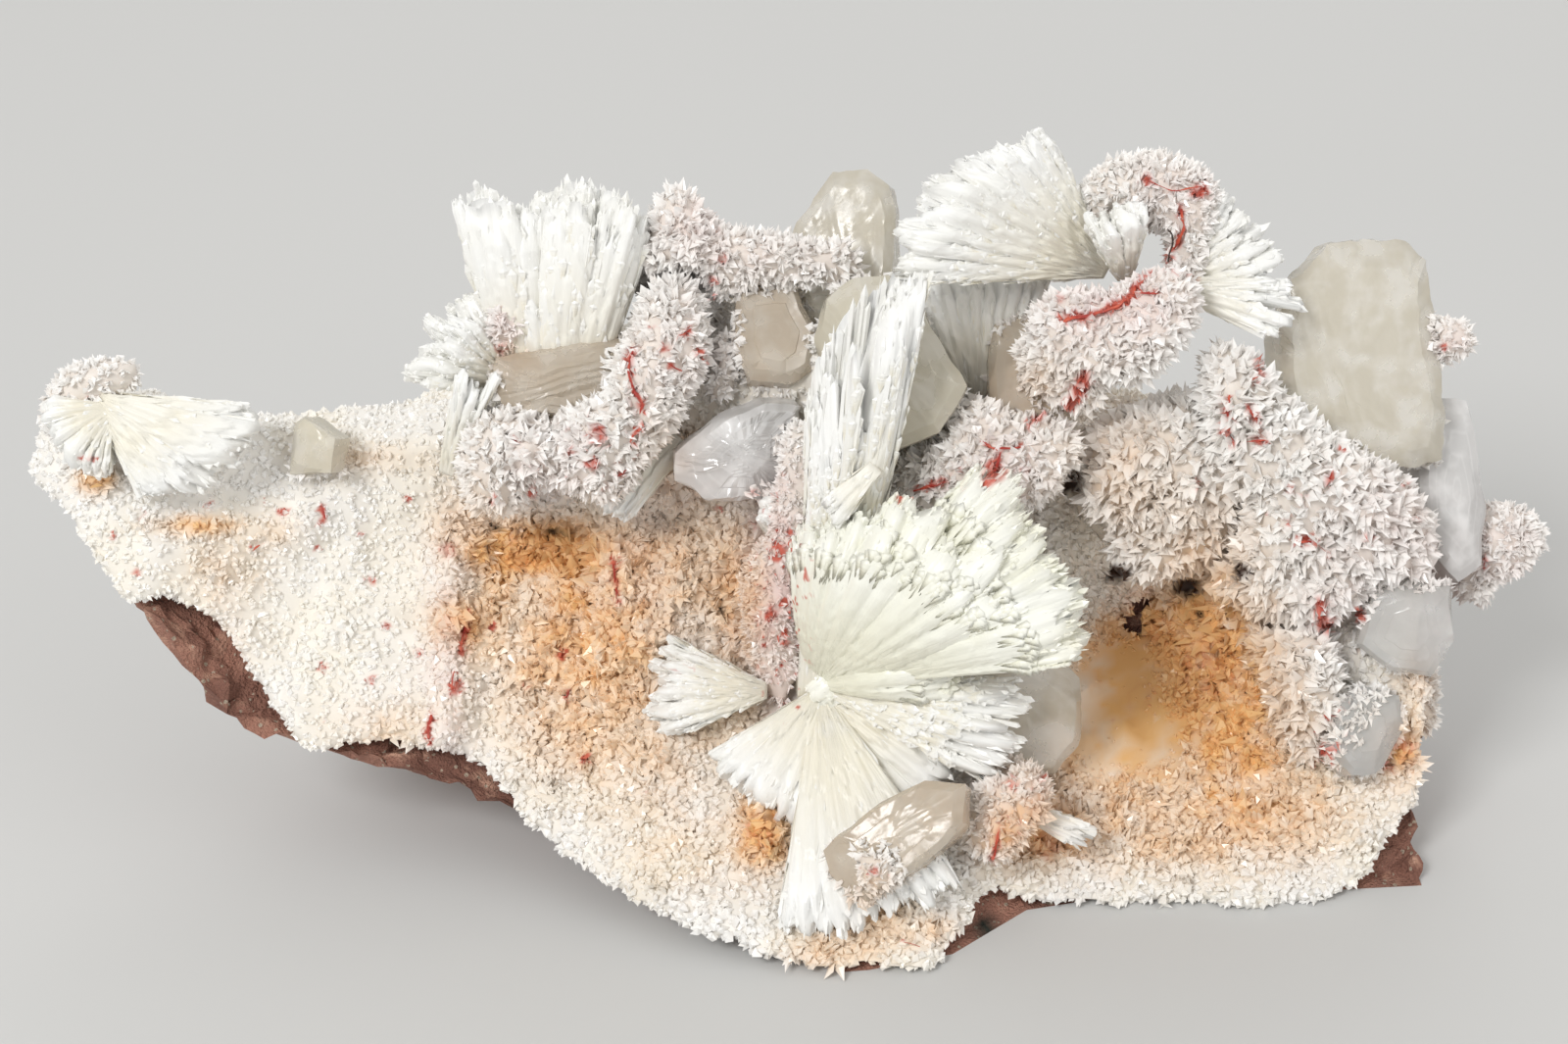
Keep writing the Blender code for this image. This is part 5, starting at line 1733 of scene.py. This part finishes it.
@dataclass
class Block:
    """A translucent block: its outline shrunk and lifted ring by ring, with terraces on its faces.

    Ring points are middle + share × outline, at a height through the block. Shares run from 0 at
    the back's middle to 1 at the rim and back to 0, and the faces step by the terrace height.
    """

    node: str
    middle: Place
    outline: tuple[Spot, ...]
    thickness: float
    yaw: float
    pitch: float
    slot: Slot
    finish: BlockFinish
    terraces: int = 4
    step: float = 0.07
    rib: float = 0.0
    rib_pitch: float = 0.8
    rib_turn: float = 0.0
    per_side: float = 0.7
    focus: Spot = (0.0, 0.0)
    rim_wear: float = 0.1
    facets: int = 4
    ring_step: float = 0.08
    lapped: float = 1.0
    bevel: float = 0.16
    crease: float = 24

    def rim(self) -> Array:
        """Walks round the outline.

        Returns:
            Its places, its corners among them, about per_side millimetres apart.
        """
        corners = np.array(self.outline[::-1], float)
        parts = []
        for corner, end in zip(corners, np.roll(corners, -1, 0)):
            steps = max(1, round(float(np.linalg.norm(end - corner)) / self.per_side))
            share = np.arange(steps)[:, None] / steps
            parts.append(corner + (end - corner) * share)
        return np.concatenate(parts)

    def rings(self) -> list[Spot]:
        """Lists the rings from the back's middle to the front's.

        Returns:
            The share and the height of each.
        """
        inset = 1 - self.bevel * self.thickness / 7.5
        half, chamfer = self.thickness / 2, self.bevel * self.thickness
        face, height = [], half
        for k in range(self.terraces + 1):
            outer = inset * (1 - k / (self.terraces + 1)) ** 0.6
            face += [(outer, height), (outer * 0.985 - 0.012, height + self.step)]
            height += self.step if k % 3 else -0.5 * self.step
        inner = np.arange(face[-1][0] - self.ring_step, 0.03, -self.ring_step)
        face += [(float(share), face[-1][1]) for share in inner]
        back = [(share, -high) for share, high in reversed(face)]
        return back + [(1.0, -half + chamfer), (1.0, 0.0), (1.0, half - chamfer)] + face

    def relief(self, places: Array, seed: int) -> Array:
        """How far ribs and lumps stand out of the faces.

        A rib is a triangle wave along the ribs' way, shaken by noise, with a depth of its own.

        Args:
            places: the block's points, before they are worn.
            seed: the block's own number.

        Returns:
            The heights, in millimetres.
        """
        turn = math.radians(self.rib_turn)
        run = places[:, 0] * math.cos(turn) + places[:, 1] * math.sin(turn)
        run = run + 0.35 * smooth_noise(places, 4.0, seed)
        wave = 2 * np.abs(run / self.rib_pitch % 1 - 0.5) - 0.5
        deep = lattice_values(np.stack([np.floor(run / self.rib_pitch)] * 3, 1), seed)
        return self.rib * (wave + 0.6 * deep) + 0.12 * layered_noise(places, 3.0, 3, seed + 1)

    def build(self, finishes: list[bpy.types.Material]) -> bpy.types.Object:
        """Makes the block.

        Args:
            finishes: the block's and the growth's.

        Returns:
            The piece.
        """
        rim, rings = self.rim(), self.rings()
        seed = sum(map(ord, self.node))
        centre = rim.mean(0) + np.array(self.focus)
        flat = np.concatenate([centre + share * (rim - centre) for share, _ in rings])
        shares, heights = (np.repeat(values, len(rim)) for values in zip(*rings))
        places = np.column_stack([flat, heights])
        local = places.copy()
        for size, share in ((2.6, 0.25), (0.9, self.rim_wear)):
            local[:, :2] += share * noise_pair(places, size, (seed + 2, seed + 3))
        local = self.cut(local, np.random.default_rng(seed))
        local[:, 2] += np.sign(heights) * self.relief(places, seed)
        placed = local @ self.turning().T + VIEW.place(*self.middle)
        shell = grid_shell(placed, len(rings), len(rim))
        shell.marks["along"] = np.concatenate([shares * 4, [0, 0]])
        shell.smooth = True
        stain_and_shade(shell, 0.3)
        shell.marks["red"] *= 0
        shells = [shell, self.seam(shell, np.random.default_rng(seed + 1))]
        return piece_from(self.node + "_crystal", shells, finishes, (self.node,), self.crease)

    def cut(self, local: Array, rng: np.random.Generator) -> Array:
        """Presses what stands beyond a few tilted planes back onto them, as plane facets.

        Args:
            local: the block's points, with its middle at 0.
            rng: draws the planes.

        Returns:
            The points after the cuts.
        """
        for _ in range(self.facets):
            turn, tilt = rng.uniform(0, TAU), math.radians(rng.uniform(18, 42))
            way = np.array([math.cos(turn) * math.sin(tilt), math.sin(turn) * math.sin(tilt),
                            math.cos(tilt)])
            way[2] *= rng.choice([1.0, 1.0, -1.0])
            out = local @ way
            over = np.maximum(out - rng.uniform(0.80, 0.9) * out.max(), 0)
            local = local - over[:, None] * way
        return local

    def seam(self, shell: Shell, rng: np.random.Generator) -> Shell:
        """Small crystals where the block meets its neighbours, as the growth laps over it.

        Args:
            shell: the block's surface.
            rng: draws the crystals.

        Returns:
            The crystals, in the growth's finish.
        """
        places, normals = scatter(shell, LAPS.spacing, rng)
        away = distance_to(neighbours_of(self.node), places)
        near = away < self.lapped * (1 + 0.6 * smooth_noise(places, 2.4, 71))
        places, normals = (np.repeat(v[near], LAPS.each, 0) for v in (places, normals))
        axes = unit(normals + rng.normal(size=places.shape) * LAPS.spread)
        lengths, widths = (rng.uniform(*v, len(places)) for v in (LAPS.length, LAPS.width))
        roots = places - axes * (LAPS.sunk * lengths)[:, None]
        lapped = crystals(roots, axes, lengths, widths, LAPS.habit, rng)
        lapped.finish = 1
        return stain_and_shade(lapped, 0.6)

    def turning(self) -> Array:
        """The block's turn: pitch about x, then yaw about y, then the view's lean about x."""
        lean, yaw, pitch = math.pi / 2 - VIEW.pitch, math.radians(self.yaw), math.radians(self.pitch)
        return about_x(lean) @ about_y(yaw) @ about_x(pitch)


def about_x(angle: float) -> Array:
    """The turn by an angle about x."""
    c, s = math.cos(angle), math.sin(angle)
    return np.array([[1, 0, 0], [0, c, -s], [0, s, c]])


def about_y(angle: float) -> Array:
    """The turn by an angle about y."""
    c, s = math.cos(angle), math.sin(angle)
    return np.array([[c, 0, s], [0, 1, 0], [-s, 0, c]])


@dataclass
class RedThreads:
    """The red threads: each is laid on the beds where the front view shows it, as a worn tube.

    A thread of the broadest width or more is left to colour alone.
    """

    beds: list[Shell]
    step: float = 0.4
    proud: float = 0.8
    leap: float = 2.2
    fewest: int = 4
    sides: int = 6
    broadest: float = 0.5
    thickness: float = 0.38
    sway: float = 0.2
    worn: float = 0.9

    def runs(self, thread: list[Spot], tree: BVHTree) -> list[Array]:
        """Lays a thread on the beds: rays through its places, parted where the depth leaps.

        Args:
            thread: the places that it runs through in the front view.
            tree: a search tree over the beds.

        Returns:
            The points of each run.
        """
        corners = np.array(thread)
        spans = np.linalg.norm(np.diff(corners, axis=0), axis=1)
        whole = np.concatenate([[0], np.cumsum(spans)])
        stations = np.linspace(0, whole[-1], max(self.fewest, round(whole[-1] / self.step)))
        places = np.stack([np.interp(stations, whole, corners[:, k]) for k in (0, 1)], 1)
        eye, _, _ = VIEW.axes()
        runs, run = [], []
        for right, up in places.tolist():
            ray = unit(VIEW.place(right, up, 0.0) - eye)
            hit = tree.ray_cast(eye.tolist(), ray.tolist())[0]
            point = None if hit is None else np.array(hit) - ray * self.proud
            if run and (point is None or np.linalg.norm(point - run[-1]) > self.leap):
                runs.append(np.array(run))
                run = []
            if point is not None:
                run.append(point)
        runs.append(np.array(run))
        return [points for points in runs if len(points) >= self.fewest]

    def build(self, finishes: list[bpy.types.Material]) -> bpy.types.Object:
        """Makes the threads.

        Args:
            finishes: the threads'.

        Returns:
            The piece.
        """
        tree = stacked(self.beds).tree()
        shells = []
        for thread, width, _ in RED_THREADS:
            for run in self.runs(thread, tree) if width < self.broadest else []:
                run[1:-1] = (run[:-2] + 2 * run[1:-1] + run[2:]) / 4
                sway = [smooth_noise(run, 1.1, 61 + k) for k in range(3)]
                path = run + self.sway * np.stack(sway, 1)
                shells.append(tube(path, self.thickness * width, self.worn, self.sides))
        return piece_from("red_threads", shells, finishes)


def tube(path: Array, radius: float, worn: float, sides: int) -> Shell:
    """Carries a ring along a path, its radius × (1 + worn × noise), narrow at both ends.

    Args:
        path: the points that its middle runs through.
        radius: its radius.
        worn: how much noise changes it.
        sides: the ring's points.

    Returns:
        The closed tube.
    """
    rows = len(path)
    ahead = unit(np.gradient(path, axis=0))
    _, outward, _ = VIEW.axes()
    side = unit(np.cross(ahead, -outward))
    other = np.cross(ahead, side)
    turn = np.linspace(0, TAU, sides, endpoint=False)
    ring = side[:, None] * np.cos(turn)[None, :, None] + other[:, None] * np.sin(turn)[None, :, None]
    narrow = np.minimum(1, 0.35 + np.minimum(np.arange(rows), np.arange(rows)[::-1]) * 0.4)
    points = path[:, None] + ring * (radius * narrow)[:, None, None]
    flat = points.reshape(-1, 3)
    swell = radius * worn * smooth_noise(flat, 0.55, 41)
    flat = flat + ring.reshape(-1, 3) * swell[:, None]
    return grid_shell(flat, rows, sides)


@dataclass
class StrayHair:
    """A thin dark hair caught across the top arch."""

    places: tuple[Place, ...] = ((39.1, 29.9, 8.6), (39.6, 29.4, 8.2), (39.7, 28.4, 8.0),
                                 (39.3, 27.3, 8.0), (39.2, 26.4, 8.6))
    radius: float = 0.09
    stations: int = 24

    def build(self, finishes: list[bpy.types.Material]) -> bpy.types.Object:
        """Makes the hair as a tube along its places.

        Args:
            finishes: the hair's.

        Returns:
            The piece.
        """
        knots = np.array([VIEW.place(*place) for place in self.places])
        share = np.linspace(0, len(knots) - 1, self.stations)
        path = np.stack([np.interp(share, np.arange(len(knots)), knots[:, k]) for k in range(3)], 1)
        path[1:-1] = (path[:-2] + path[1:-1] + path[2:]) / 3
        return piece_from("stray_hair", [tube(path, self.radius, 0.1, 5)], finishes)


@dataclass
class Studio:
    """A plain pale floor, soft lights and the camera."""

    floor: Colour = (0.62, 0.62, 0.61)
    floor_size: float = 3.0
    sky: Colour = (1.0, 0.99, 0.97)
    sky_strength: float = 0.6
    lights: tuple[tuple[Place, float, float], ...] = (
        ((-0.42, -0.62, 0.68), 0.3, 5.2), ((0.7, -0.4, 0.4), 0.6, 1.2), ((0.1, 0.7, 0.6), 0.6, 1.6))
    aim: Place = (0, 0, 0.04)

    def lay_floor(self) -> None:
        """Lays the floor, in a pale finish that varies a little."""
        half = self.floor_size / 2
        mesh = bpy.data.meshes.new("floor")
        mesh.from_pydata([(-half, -half, 0), (half, -half, 0), (half, half, 0), (-half, half, 0)], [],
                         [(0, 1, 2, 3)])
        floor = bpy.data.objects.new("floor", mesh)
        bpy.context.scene.collection.objects.link(floor)
        material, nodes, shader = new_finish("floor")
        share = nodes.noise(nodes.object_place(), 6.0, 2.0)
        darker = tuple(0.97 * part for part in self.floor)
        nodes.feed(shader.inputs["Base Color"], nodes.mix(share, self.floor, darker))
        shader.inputs["Roughness"].default_value = 0.8
        mesh.materials.append(material)

    def light(self) -> None:
        """Sets the sky and the soft lights."""
        world = bpy.data.worlds.new("soft_room")
        bpy.context.scene.world = world
        world.use_nodes = True
        background = world.node_tree.nodes["Background"]
        background.inputs["Color"].default_value = (*self.sky, 1)
        background.inputs["Strength"].default_value = self.sky_strength
        for number, (place, size, power) in enumerate(self.lights):
            lamp = bpy.data.lights.new(f"soft_light_{number}", "AREA")
            lamp.size = size
            lamp.energy = power
            holder = bpy.data.objects.new(lamp.name, lamp)
            holder.location = place
            aim = Vector(self.aim) - Vector(place)
            holder.rotation_euler = aim.to_track_quat("-Z", "Y").to_euler()
            bpy.context.scene.collection.objects.link(holder)

    def build(self) -> None:
        """Lays the floor, sets the lights and adds the camera."""
        self.lay_floor()
        self.light()
        bpy.context.scene.view_settings.view_transform = "Standard"
        VIEW.add_camera()


# This specimen.

BIG = Coat(1.15, 3, (1.5, 2.9), (1.1, 2.0), 0.6)
FINE = Coat(0.7, 3, (0.7, 1.4), (0.4, 0.8), 0.8)
LOW = Coat(0.85, 3, (0.7, 1.3), (0.7, 1.2), 0.6)

GROWTHS = (
    Growth("left_cluster", 101), Growth("upper_ridge", 102, 0.9), Growth("centre_column", 103, coat=FINE),
    Growth("centre_knob", 104), Growth("vein_arch", 105, 0.95), Growth("top_arch", 106, 0.85),
    Growth("vug_hood", 107, coat=BIG), Growth("right_mass", 108, coat=BIG),
    Growth("right_foot", 109, coat=BIG), Growth("side_knob", 110, 0.8),
    Growth("right_point", 111, 0.9), Growth("vein_foot", 112, 0.85),
    Growth("wedge_cluster", 113, 0.75), Growth("tip_knobs", 114, coat=LOW),
    Growth("pink_tuft", 115, 0.75), Growth("right_rim", 116, 0.8),
)

# The bowl's fans: smooth low down, with broad blades near the rim.
WAXY = {"milky": True, "notch": 0.06, "scaly": 0.6, "groove": 0.05, "bulge": 3.0, "tipped": 0.04,
        "blade": (1.4, 3.4), "wide": (0.9, 1.8), "proud": 0.03, "bare": 0.88, "plates": 0.2}

# The tall fans, the single splinters and the floor fans, whose blades are long.
TALL = {"waist": 1.4, "bulge": 1.2, "blade": (2.0, 5.5), "wide": (0.6, 1.3), "proud": 0.2}
SPLINTER = {"lobes": 3, "notch": 0.3, "scaly": 0.5}
FLOOR = {"groove": 0.1, "wide": (0.3, 0.7), "tipped": 0.08, "proud": 0.15}

SPRAYS = (
    SprayGroup("tall_sprays", 201, (
        Fan((-23.3, 8.0, 14.5), (-22.9, 37.0, 16.5), 20.5, 10, 0.13, lobes=3, notch=0.2,
            squeeze=0.03, bulge=2.0, waist=3.0, blade=(2.0, 5.5), wide=(0.6, 1.3), tipped=0.2,
            proud=0.2),
        Fan((-25.4, 9.0, 13.2), (-29.6, 34.6, 13.6), 10, 7, 0.12, lobes=2, notch=0.16, **TALL),
        Fan((-22.0, 10.0, 13.0), (-17.8, 35.2, 13.4), 10, 7, 0.12, lobes=2, notch=0.16, **TALL),
        Fan((-23.6, 10.0, 12.5), (-25.0, 28.4, 12.2), 11, 7, 0.15, lobes=3, notch=0.15,
            waist=1.8, bulge=1.0, blade=(2.0, 5.0), wide=(0.6, 1.2), proud=0.2),
        Fan((-28.0, 14.5, 12.5), (-36.8, 20.9, 9.5), 34, 18, 0.2, lobes=5, notch=0.26, scaly=1.8,
            squeeze=0.06, uneven=0.7, groove=0.4, blade=(1.2, 3.2), wide=(0.6, 1.2))),
        ((-23.6, 13.0, 13.5, 3.0), (-28.6, 15.4, 12.0, 2.4))),
    SprayGroup("sliver_spray", 202, (
        Fan((-34.3, 5.2, 8.0), (-30.9, 16.6, 6.5), 10, 6, 0.2, **SPLINTER),)),
    SprayGroup("wing_sprays", 203, (
        Fan((32.6, 25.6, 15.0), (15.6, 36.8, 11.0), 31, 9, 0.15, 0, 0.2, lobes=10, notch=0.1,
            uneven=0.9, scaly=2.6, groove=0.25, blade=(1.6, 4.2), plates=0.45),
        Fan((34.6, 25.2, 12.0), (33.4, 33.0, 9.5), 22, 16, 0.25, lobes=4, notch=0.3, scaly=2.0),
        Fan((38.5, 24.2, 14.0), (50.0, 30.8, 12.5), 30, 12, 0.2, lobes=7, notch=0.2, scaly=2.0),
        Fan((39.0, 24.2, 11.5), (54.0, 20.8, 7.5), 15, 9, 0.3, lobes=4, notch=0.3, scaly=0.8))),
    SprayGroup("curtain_spray", 204, (
        Fan((19.6, 10.4, 14.0), (17.4, 27.4, 15.0), 33, 8, 0.06, lobes=12, notch=0.1, scaly=0.5,
            blade=(2.0, 6.0), wide=(0.3, 0.6), tipped=0.12),)),
    SprayGroup("heart_sprays", 205, (
        Fan((4.0, -15.8, -1.5), (29.2, -1.8, -10.5), 21, 8.5, 0.1, -8, 0, lobes=8, **WAXY),
        Fan((3.6, -15.8, -1.0), (11.6, 2.0, -7.5), 26, 8.5, 0.1, -8, -0.22, lobes=7, **WAXY),
        Fan((4.2, -15.8, -2.2), (20.2, -1.6, -10.4), 21, 8, 0.1, **WAXY),
        Fan((4.2, -16.2, -2.0), (18.6, -13.6, -8.0), 18, 10, 0.1, 0, 0.1, lobes=5, **WAXY),
        Fan((4.0, -16.6, -1.0), (5.0, -16.3, -3.8), 55, 50, 0.1, milky=True, notch=0.1, scaly=3.0,
            blade=(0.8, 2.2), wide=(0.4, 0.8), proud=0.1, plates=0.15),
        Fan((9.4, 5.6, -4.4), (3.9, 0.0, -5.0), 12, 7, 0.2, lobes=3, notch=0.2, scaly=1.5),
        Fan((3.6, -16.5, 0.0), (8.2, 24.0, 0.0), 7.2, 6.5, 0.24, 10, -0.14, lobes=4, notch=0.08,
            scaly=2.0, groove=0.05, uneven=0.9, blade=(1.5, 5.0), tipped=0.12, proud=0.2, waist=2.8,
            plates=0.2),
        Fan((4.2, -16.6, -2.0), (26.0, -22.4, -10.0), 16, 12, 0.2, scaly=3.4, groove=0.12, bulge=2.0,
            cap=0.2, tipped=0.4, blade=(1.4, 3.4), wide=(0.6, 1.3)),
        Fan((3.8, -18.0, -2.5), (9.6, -42.6, -23.0), 23, 6, 0.07, lobes=11, notch=0.08, scaly=0.5,
            blade=(3.0, 8.0), **FLOOR),
        Fan((3.6, -17.6, -2.3), (-4.3, -29.2, -11.6), 27, 8, 0.08, lobes=7, notch=0.1, scaly=0.5,
            blade=(3.0, 7.0), **FLOOR),
        Fan((4.0, -17.6, -2.3), (18.2, -27.4, -9.0), 29, 8, 0.07, lobes=8, notch=0.1, scaly=0.6,
            groove=0.1, blade=(3.0, 7.0), wide=(0.3, 0.7), tipped=0.1, proud=0.2),
        Fan((-1.8, -17.2, -2.0), (-15.4, -16.8, -3.5), 27, 16, 0.3, notch=0.2, scaly=3.0,
            blade=(1.2, 3.5), wide=(0.35, 0.8), bulge=1.0))),
    SprayGroup("splinter_spray", 206, (
        Fan((22.8, -28.6, -10.5), (32.2, -32.8, -13.5), 9, 8, 0.2, **SPLINTER),)),
    SprayGroup("tip_spray", 207, (
        Fan((-70.0, 12.5, 3.5), (-56.8, 3.6, 1.5), 33, 9, 0.2, -4, 0.24, lobes=8, notch=0.1,
            uneven=0.9, scaly=2.2, groove=0.1, blade=(1.6, 4.6), wide=(0.35, 0.8), tipped=0.12,
            proud=0.2, bulge=1.2),
        Fan((-68.5, 11.4, 3.0), (-74.6, 6.8, 0.5), 50, 22, 0.1, lobes=7, scaly=0.6, groove=0.6,
            bulge=0.8))),
    SprayGroup("pale_blade_spray", 208, (
        Fan((-10.6, 8.6, 9.0), (-18.3, -0.6, 4.5), 8, 6, 0.15, 30, lobes=2, scaly=0.5),)),
    SprayGroup("thin_blade_spray", 209, (
        Fan((0.6, -3.2, 3.0), (-2.2, 2.8, 1.5), 12, 8, 0.2, 30, lobes=2, scaly=0.5),)),
)

BLOCKS = (
    Block("right_block", (59.0, 18.2, 15.0),
          ((-4.5, 10), (-1, 10.7), (3.5, 10.5), (5.8, 8.8), (6.5, 2), (8.3, -6), (8, -12), (-2, -14),
           (-9, -9), (-10, 2), (-8.5, 6.5)), 8.0, 8, 4, Slot.GREY, GREY_BLOCKS, 3, 0.02,
          rib=0.05, rib_pitch=1.3, rib_turn=20, per_side=0.5, focus=(-3.0, -3.5), rim_wear=0.22,
          facets=3, ring_step=0.05),
    Block("right_lower_block", (67.5, 3.7, 13.0),
          ((-2.3, 9.5), (1.2, 9), (2.2, 5.5), (3.4, -2.5), (3, -8.5), (0.5, -10.5), (-4, -6),
           (-4.5, 3)), 7.0, 14, 0, Slot.GREY, PEARLY_BLOCKS, 1, 0.03, facets=6, rim_wear=0.06),
    Block("back_peak_block", (6.0, 28.5, 24.0),
          ((-0.5, 7.2), (3, 7.3), (5.2, 5.7), (5.8, 3), (5.5, -9), (-4, -9), (-6, -1.5), (-4.5, 2)),
          8.0, -8, 0, Slot.GREY, GREY_BLOCKS, 0, rib=0.05, rib_turn=10, facets=2),
    Block("back_ridge_block", (-5.0, 25.5, 27.0),
          ((-5.5, 6.3), (-1, 4.8), (3, 3.5), (4.2, 2), (4.2, -7), (-5.5, -7), (-6.5, 2)),
          6.0, 6, 4, Slot.GREY, GREY_BLOCKS, 0),
    Block("window_block", (-1.0, 18.4, 14.0),
          ((-3.9, 5.2), (2, 5.6), (4.3, 0.5), (3.7, -3.4), (1.2, -5.2), (-2.6, -4.6), (-4.2, -1.2)),
          7.0, 4, -6, Slot.TAN, TAN_BLOCKS, 1, 0.1, facets=2, rim_wear=0.04),
    Block("tan_wedge_block", (9.5, 17.0, 9.0),
          ((-5.3, 6), (-2.5, 7.8), (1.2, 8.2), (4.5, 5), (9.2, -3.4), (6.5, -8), (-1, -11), (-5, -8),
           (-6.5, 2)), 6.0, -6, 0, Slot.TAN, CREAM_BLOCKS, 2, 0.04, rib=0.08, rib_pitch=0.9,
          rib_turn=35, per_side=0.4, facets=8, ring_step=0.05, rim_wear=0.04),
    Block("layered_block", (-22.5, 15.0, 10.5),
          ((-7, 1.8), (-1.5, 3), (6.5, 4.3), (8.2, 2.2), (7.2, -3), (0.5, -4.5), (-5.5, -4),
           (-7.4, -1.5)), 6.5, 10, 8, Slot.TAN, TAN_BLOCKS, 2, 0.05, 0.22, 0.75, 105,
          per_side=0.4, facets=0, ring_step=0.06),
    Block("pearly_block", (-4.8, 7.4, 5.5),
          ((-6.4, -0.4), (-1.7, 3.5), (2.3, 5.2), (6, 4.8), (6, -1.2), (2.8, -4.9), (-3.2, -4.9),
           (-6.2, -3.2)), 5.0, 12, 14, Slot.GREY, PEARLY_BLOCKS, 2, 0.12, 0.22, 0.7, 62,
          per_side=0.35, facets=10, ring_step=0.05, rim_wear=0.05),
    Block("front_wedge_block", (11.4, -32.4, -17.5),
          ((-7.6, -1.6), (-1.2, 3.6), (3.3, 6.1), (7.3, 5.5), (7.3, 1.6), (2.8, -2.9), (-2.2, -6.4),
           (-6.7, -3.9)), 6.5, -14, -10, Slot.TAN, TAN_BLOCKS, 1, 0.05, 0.1, 0.6, 125, facets=3),
    Block("grey_shelf_block", (23.5, -18.4, -1.0),
          ((-7.5, 6.5), (-4, 7.8), (3, 6.8), (6.7, 2.8), (6.7, -4.5), (4, -7.5), (-2, -6.8),
           (-8, -0.5)), 5.5, 10, 6, Slot.GREY, GREY_BLOCKS, 0, 0.1, 0.08, 1.2, 60),
    Block("clear_block", (63.3, -10.8, 1.5),
          ((-5, -1.5), (-3.5, 4), (0.5, 5.7), (4.5, 4.2), (5, -1), (2.7, -4.7), (-1.5, -4.2)),
          5.5, -10, 10, Slot.GREY, ICY_BLOCKS, 2, 0.05, facets=7, rim_wear=0.05, lapped=2.0),
    Block("icy_block", (59.0, -21.6, -2.5),
          ((-3.4, 3.2), (-0.2, 5), (3.4, 4), (4.2, 0.3), (2, -3.9), (-2.2, -4.4), (-4.6, -1.2)),
          6.0, 8, -6, Slot.GREY, ICY_BLOCKS, 2, 0.05, facets=7, rim_wear=0.05, lapped=3.0),
    Block("back_shelf_block", (24.5, 16.2, 13.0),
          ((-3.2, 4), (0.5, 5.8), (3.7, 5), (4.7, -6), (-3.5, -8), (-4, 0)),
          7.0, 0, 0, Slot.TAN, TAN_BLOCKS, 0),
    Block("left_facet_block", (-47.5, 8.0, 9.0),
          ((-2, 2.3), (-0.7, 2.8), (2.8, 0.6), (2.2, -3), (-2.7, -3.2)),
          4.0, -20, 0, Slot.TAN, CREAM_BLOCKS, 0, facets=6, rim_wear=0.05, lapped=2.2),
)


def main() -> None:
    """Builds the pieces in order."""
    logging.basicConfig(level=logging.INFO, format="%(name)s: %(message)s")
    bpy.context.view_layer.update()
    Studio().build()
    BasaltPlate().build([BasaltFinish().make()])
    DruseLining().build([DRUSE_BED.make(), DRUSE_GRAINS.make()])
    growth = [SPEAR_BED.make(), WHITE_SPEARS.make()]
    for part in GROWTHS:
        part.build(growth)
    needles = [WHITE_NEEDLES.make(), MILKY_NEEDLES.make()]
    for part in SPRAYS:
        part.build(needles)
    looks = (GREY_BLOCKS, CREAM_BLOCKS, TAN_BLOCKS, ICY_BLOCKS, PEARLY_BLOCKS)
    clear = {look: look.make() for look in looks}
    for part in BLOCKS:
        part.build([clear[part.finish], growth[1]])
    beds = [part.bed() for part in (*GROWTHS, DruseLining())]
    RedThreads(beds).build([ThreadFinish().make()])
    hair = ThreadFinish("hair_brown", (0.03, 0.015, 0.01), (0.06, 0.03, 0.02))
    StrayHair().build([hair.make()])


if __name__ == "__main__":
    main()
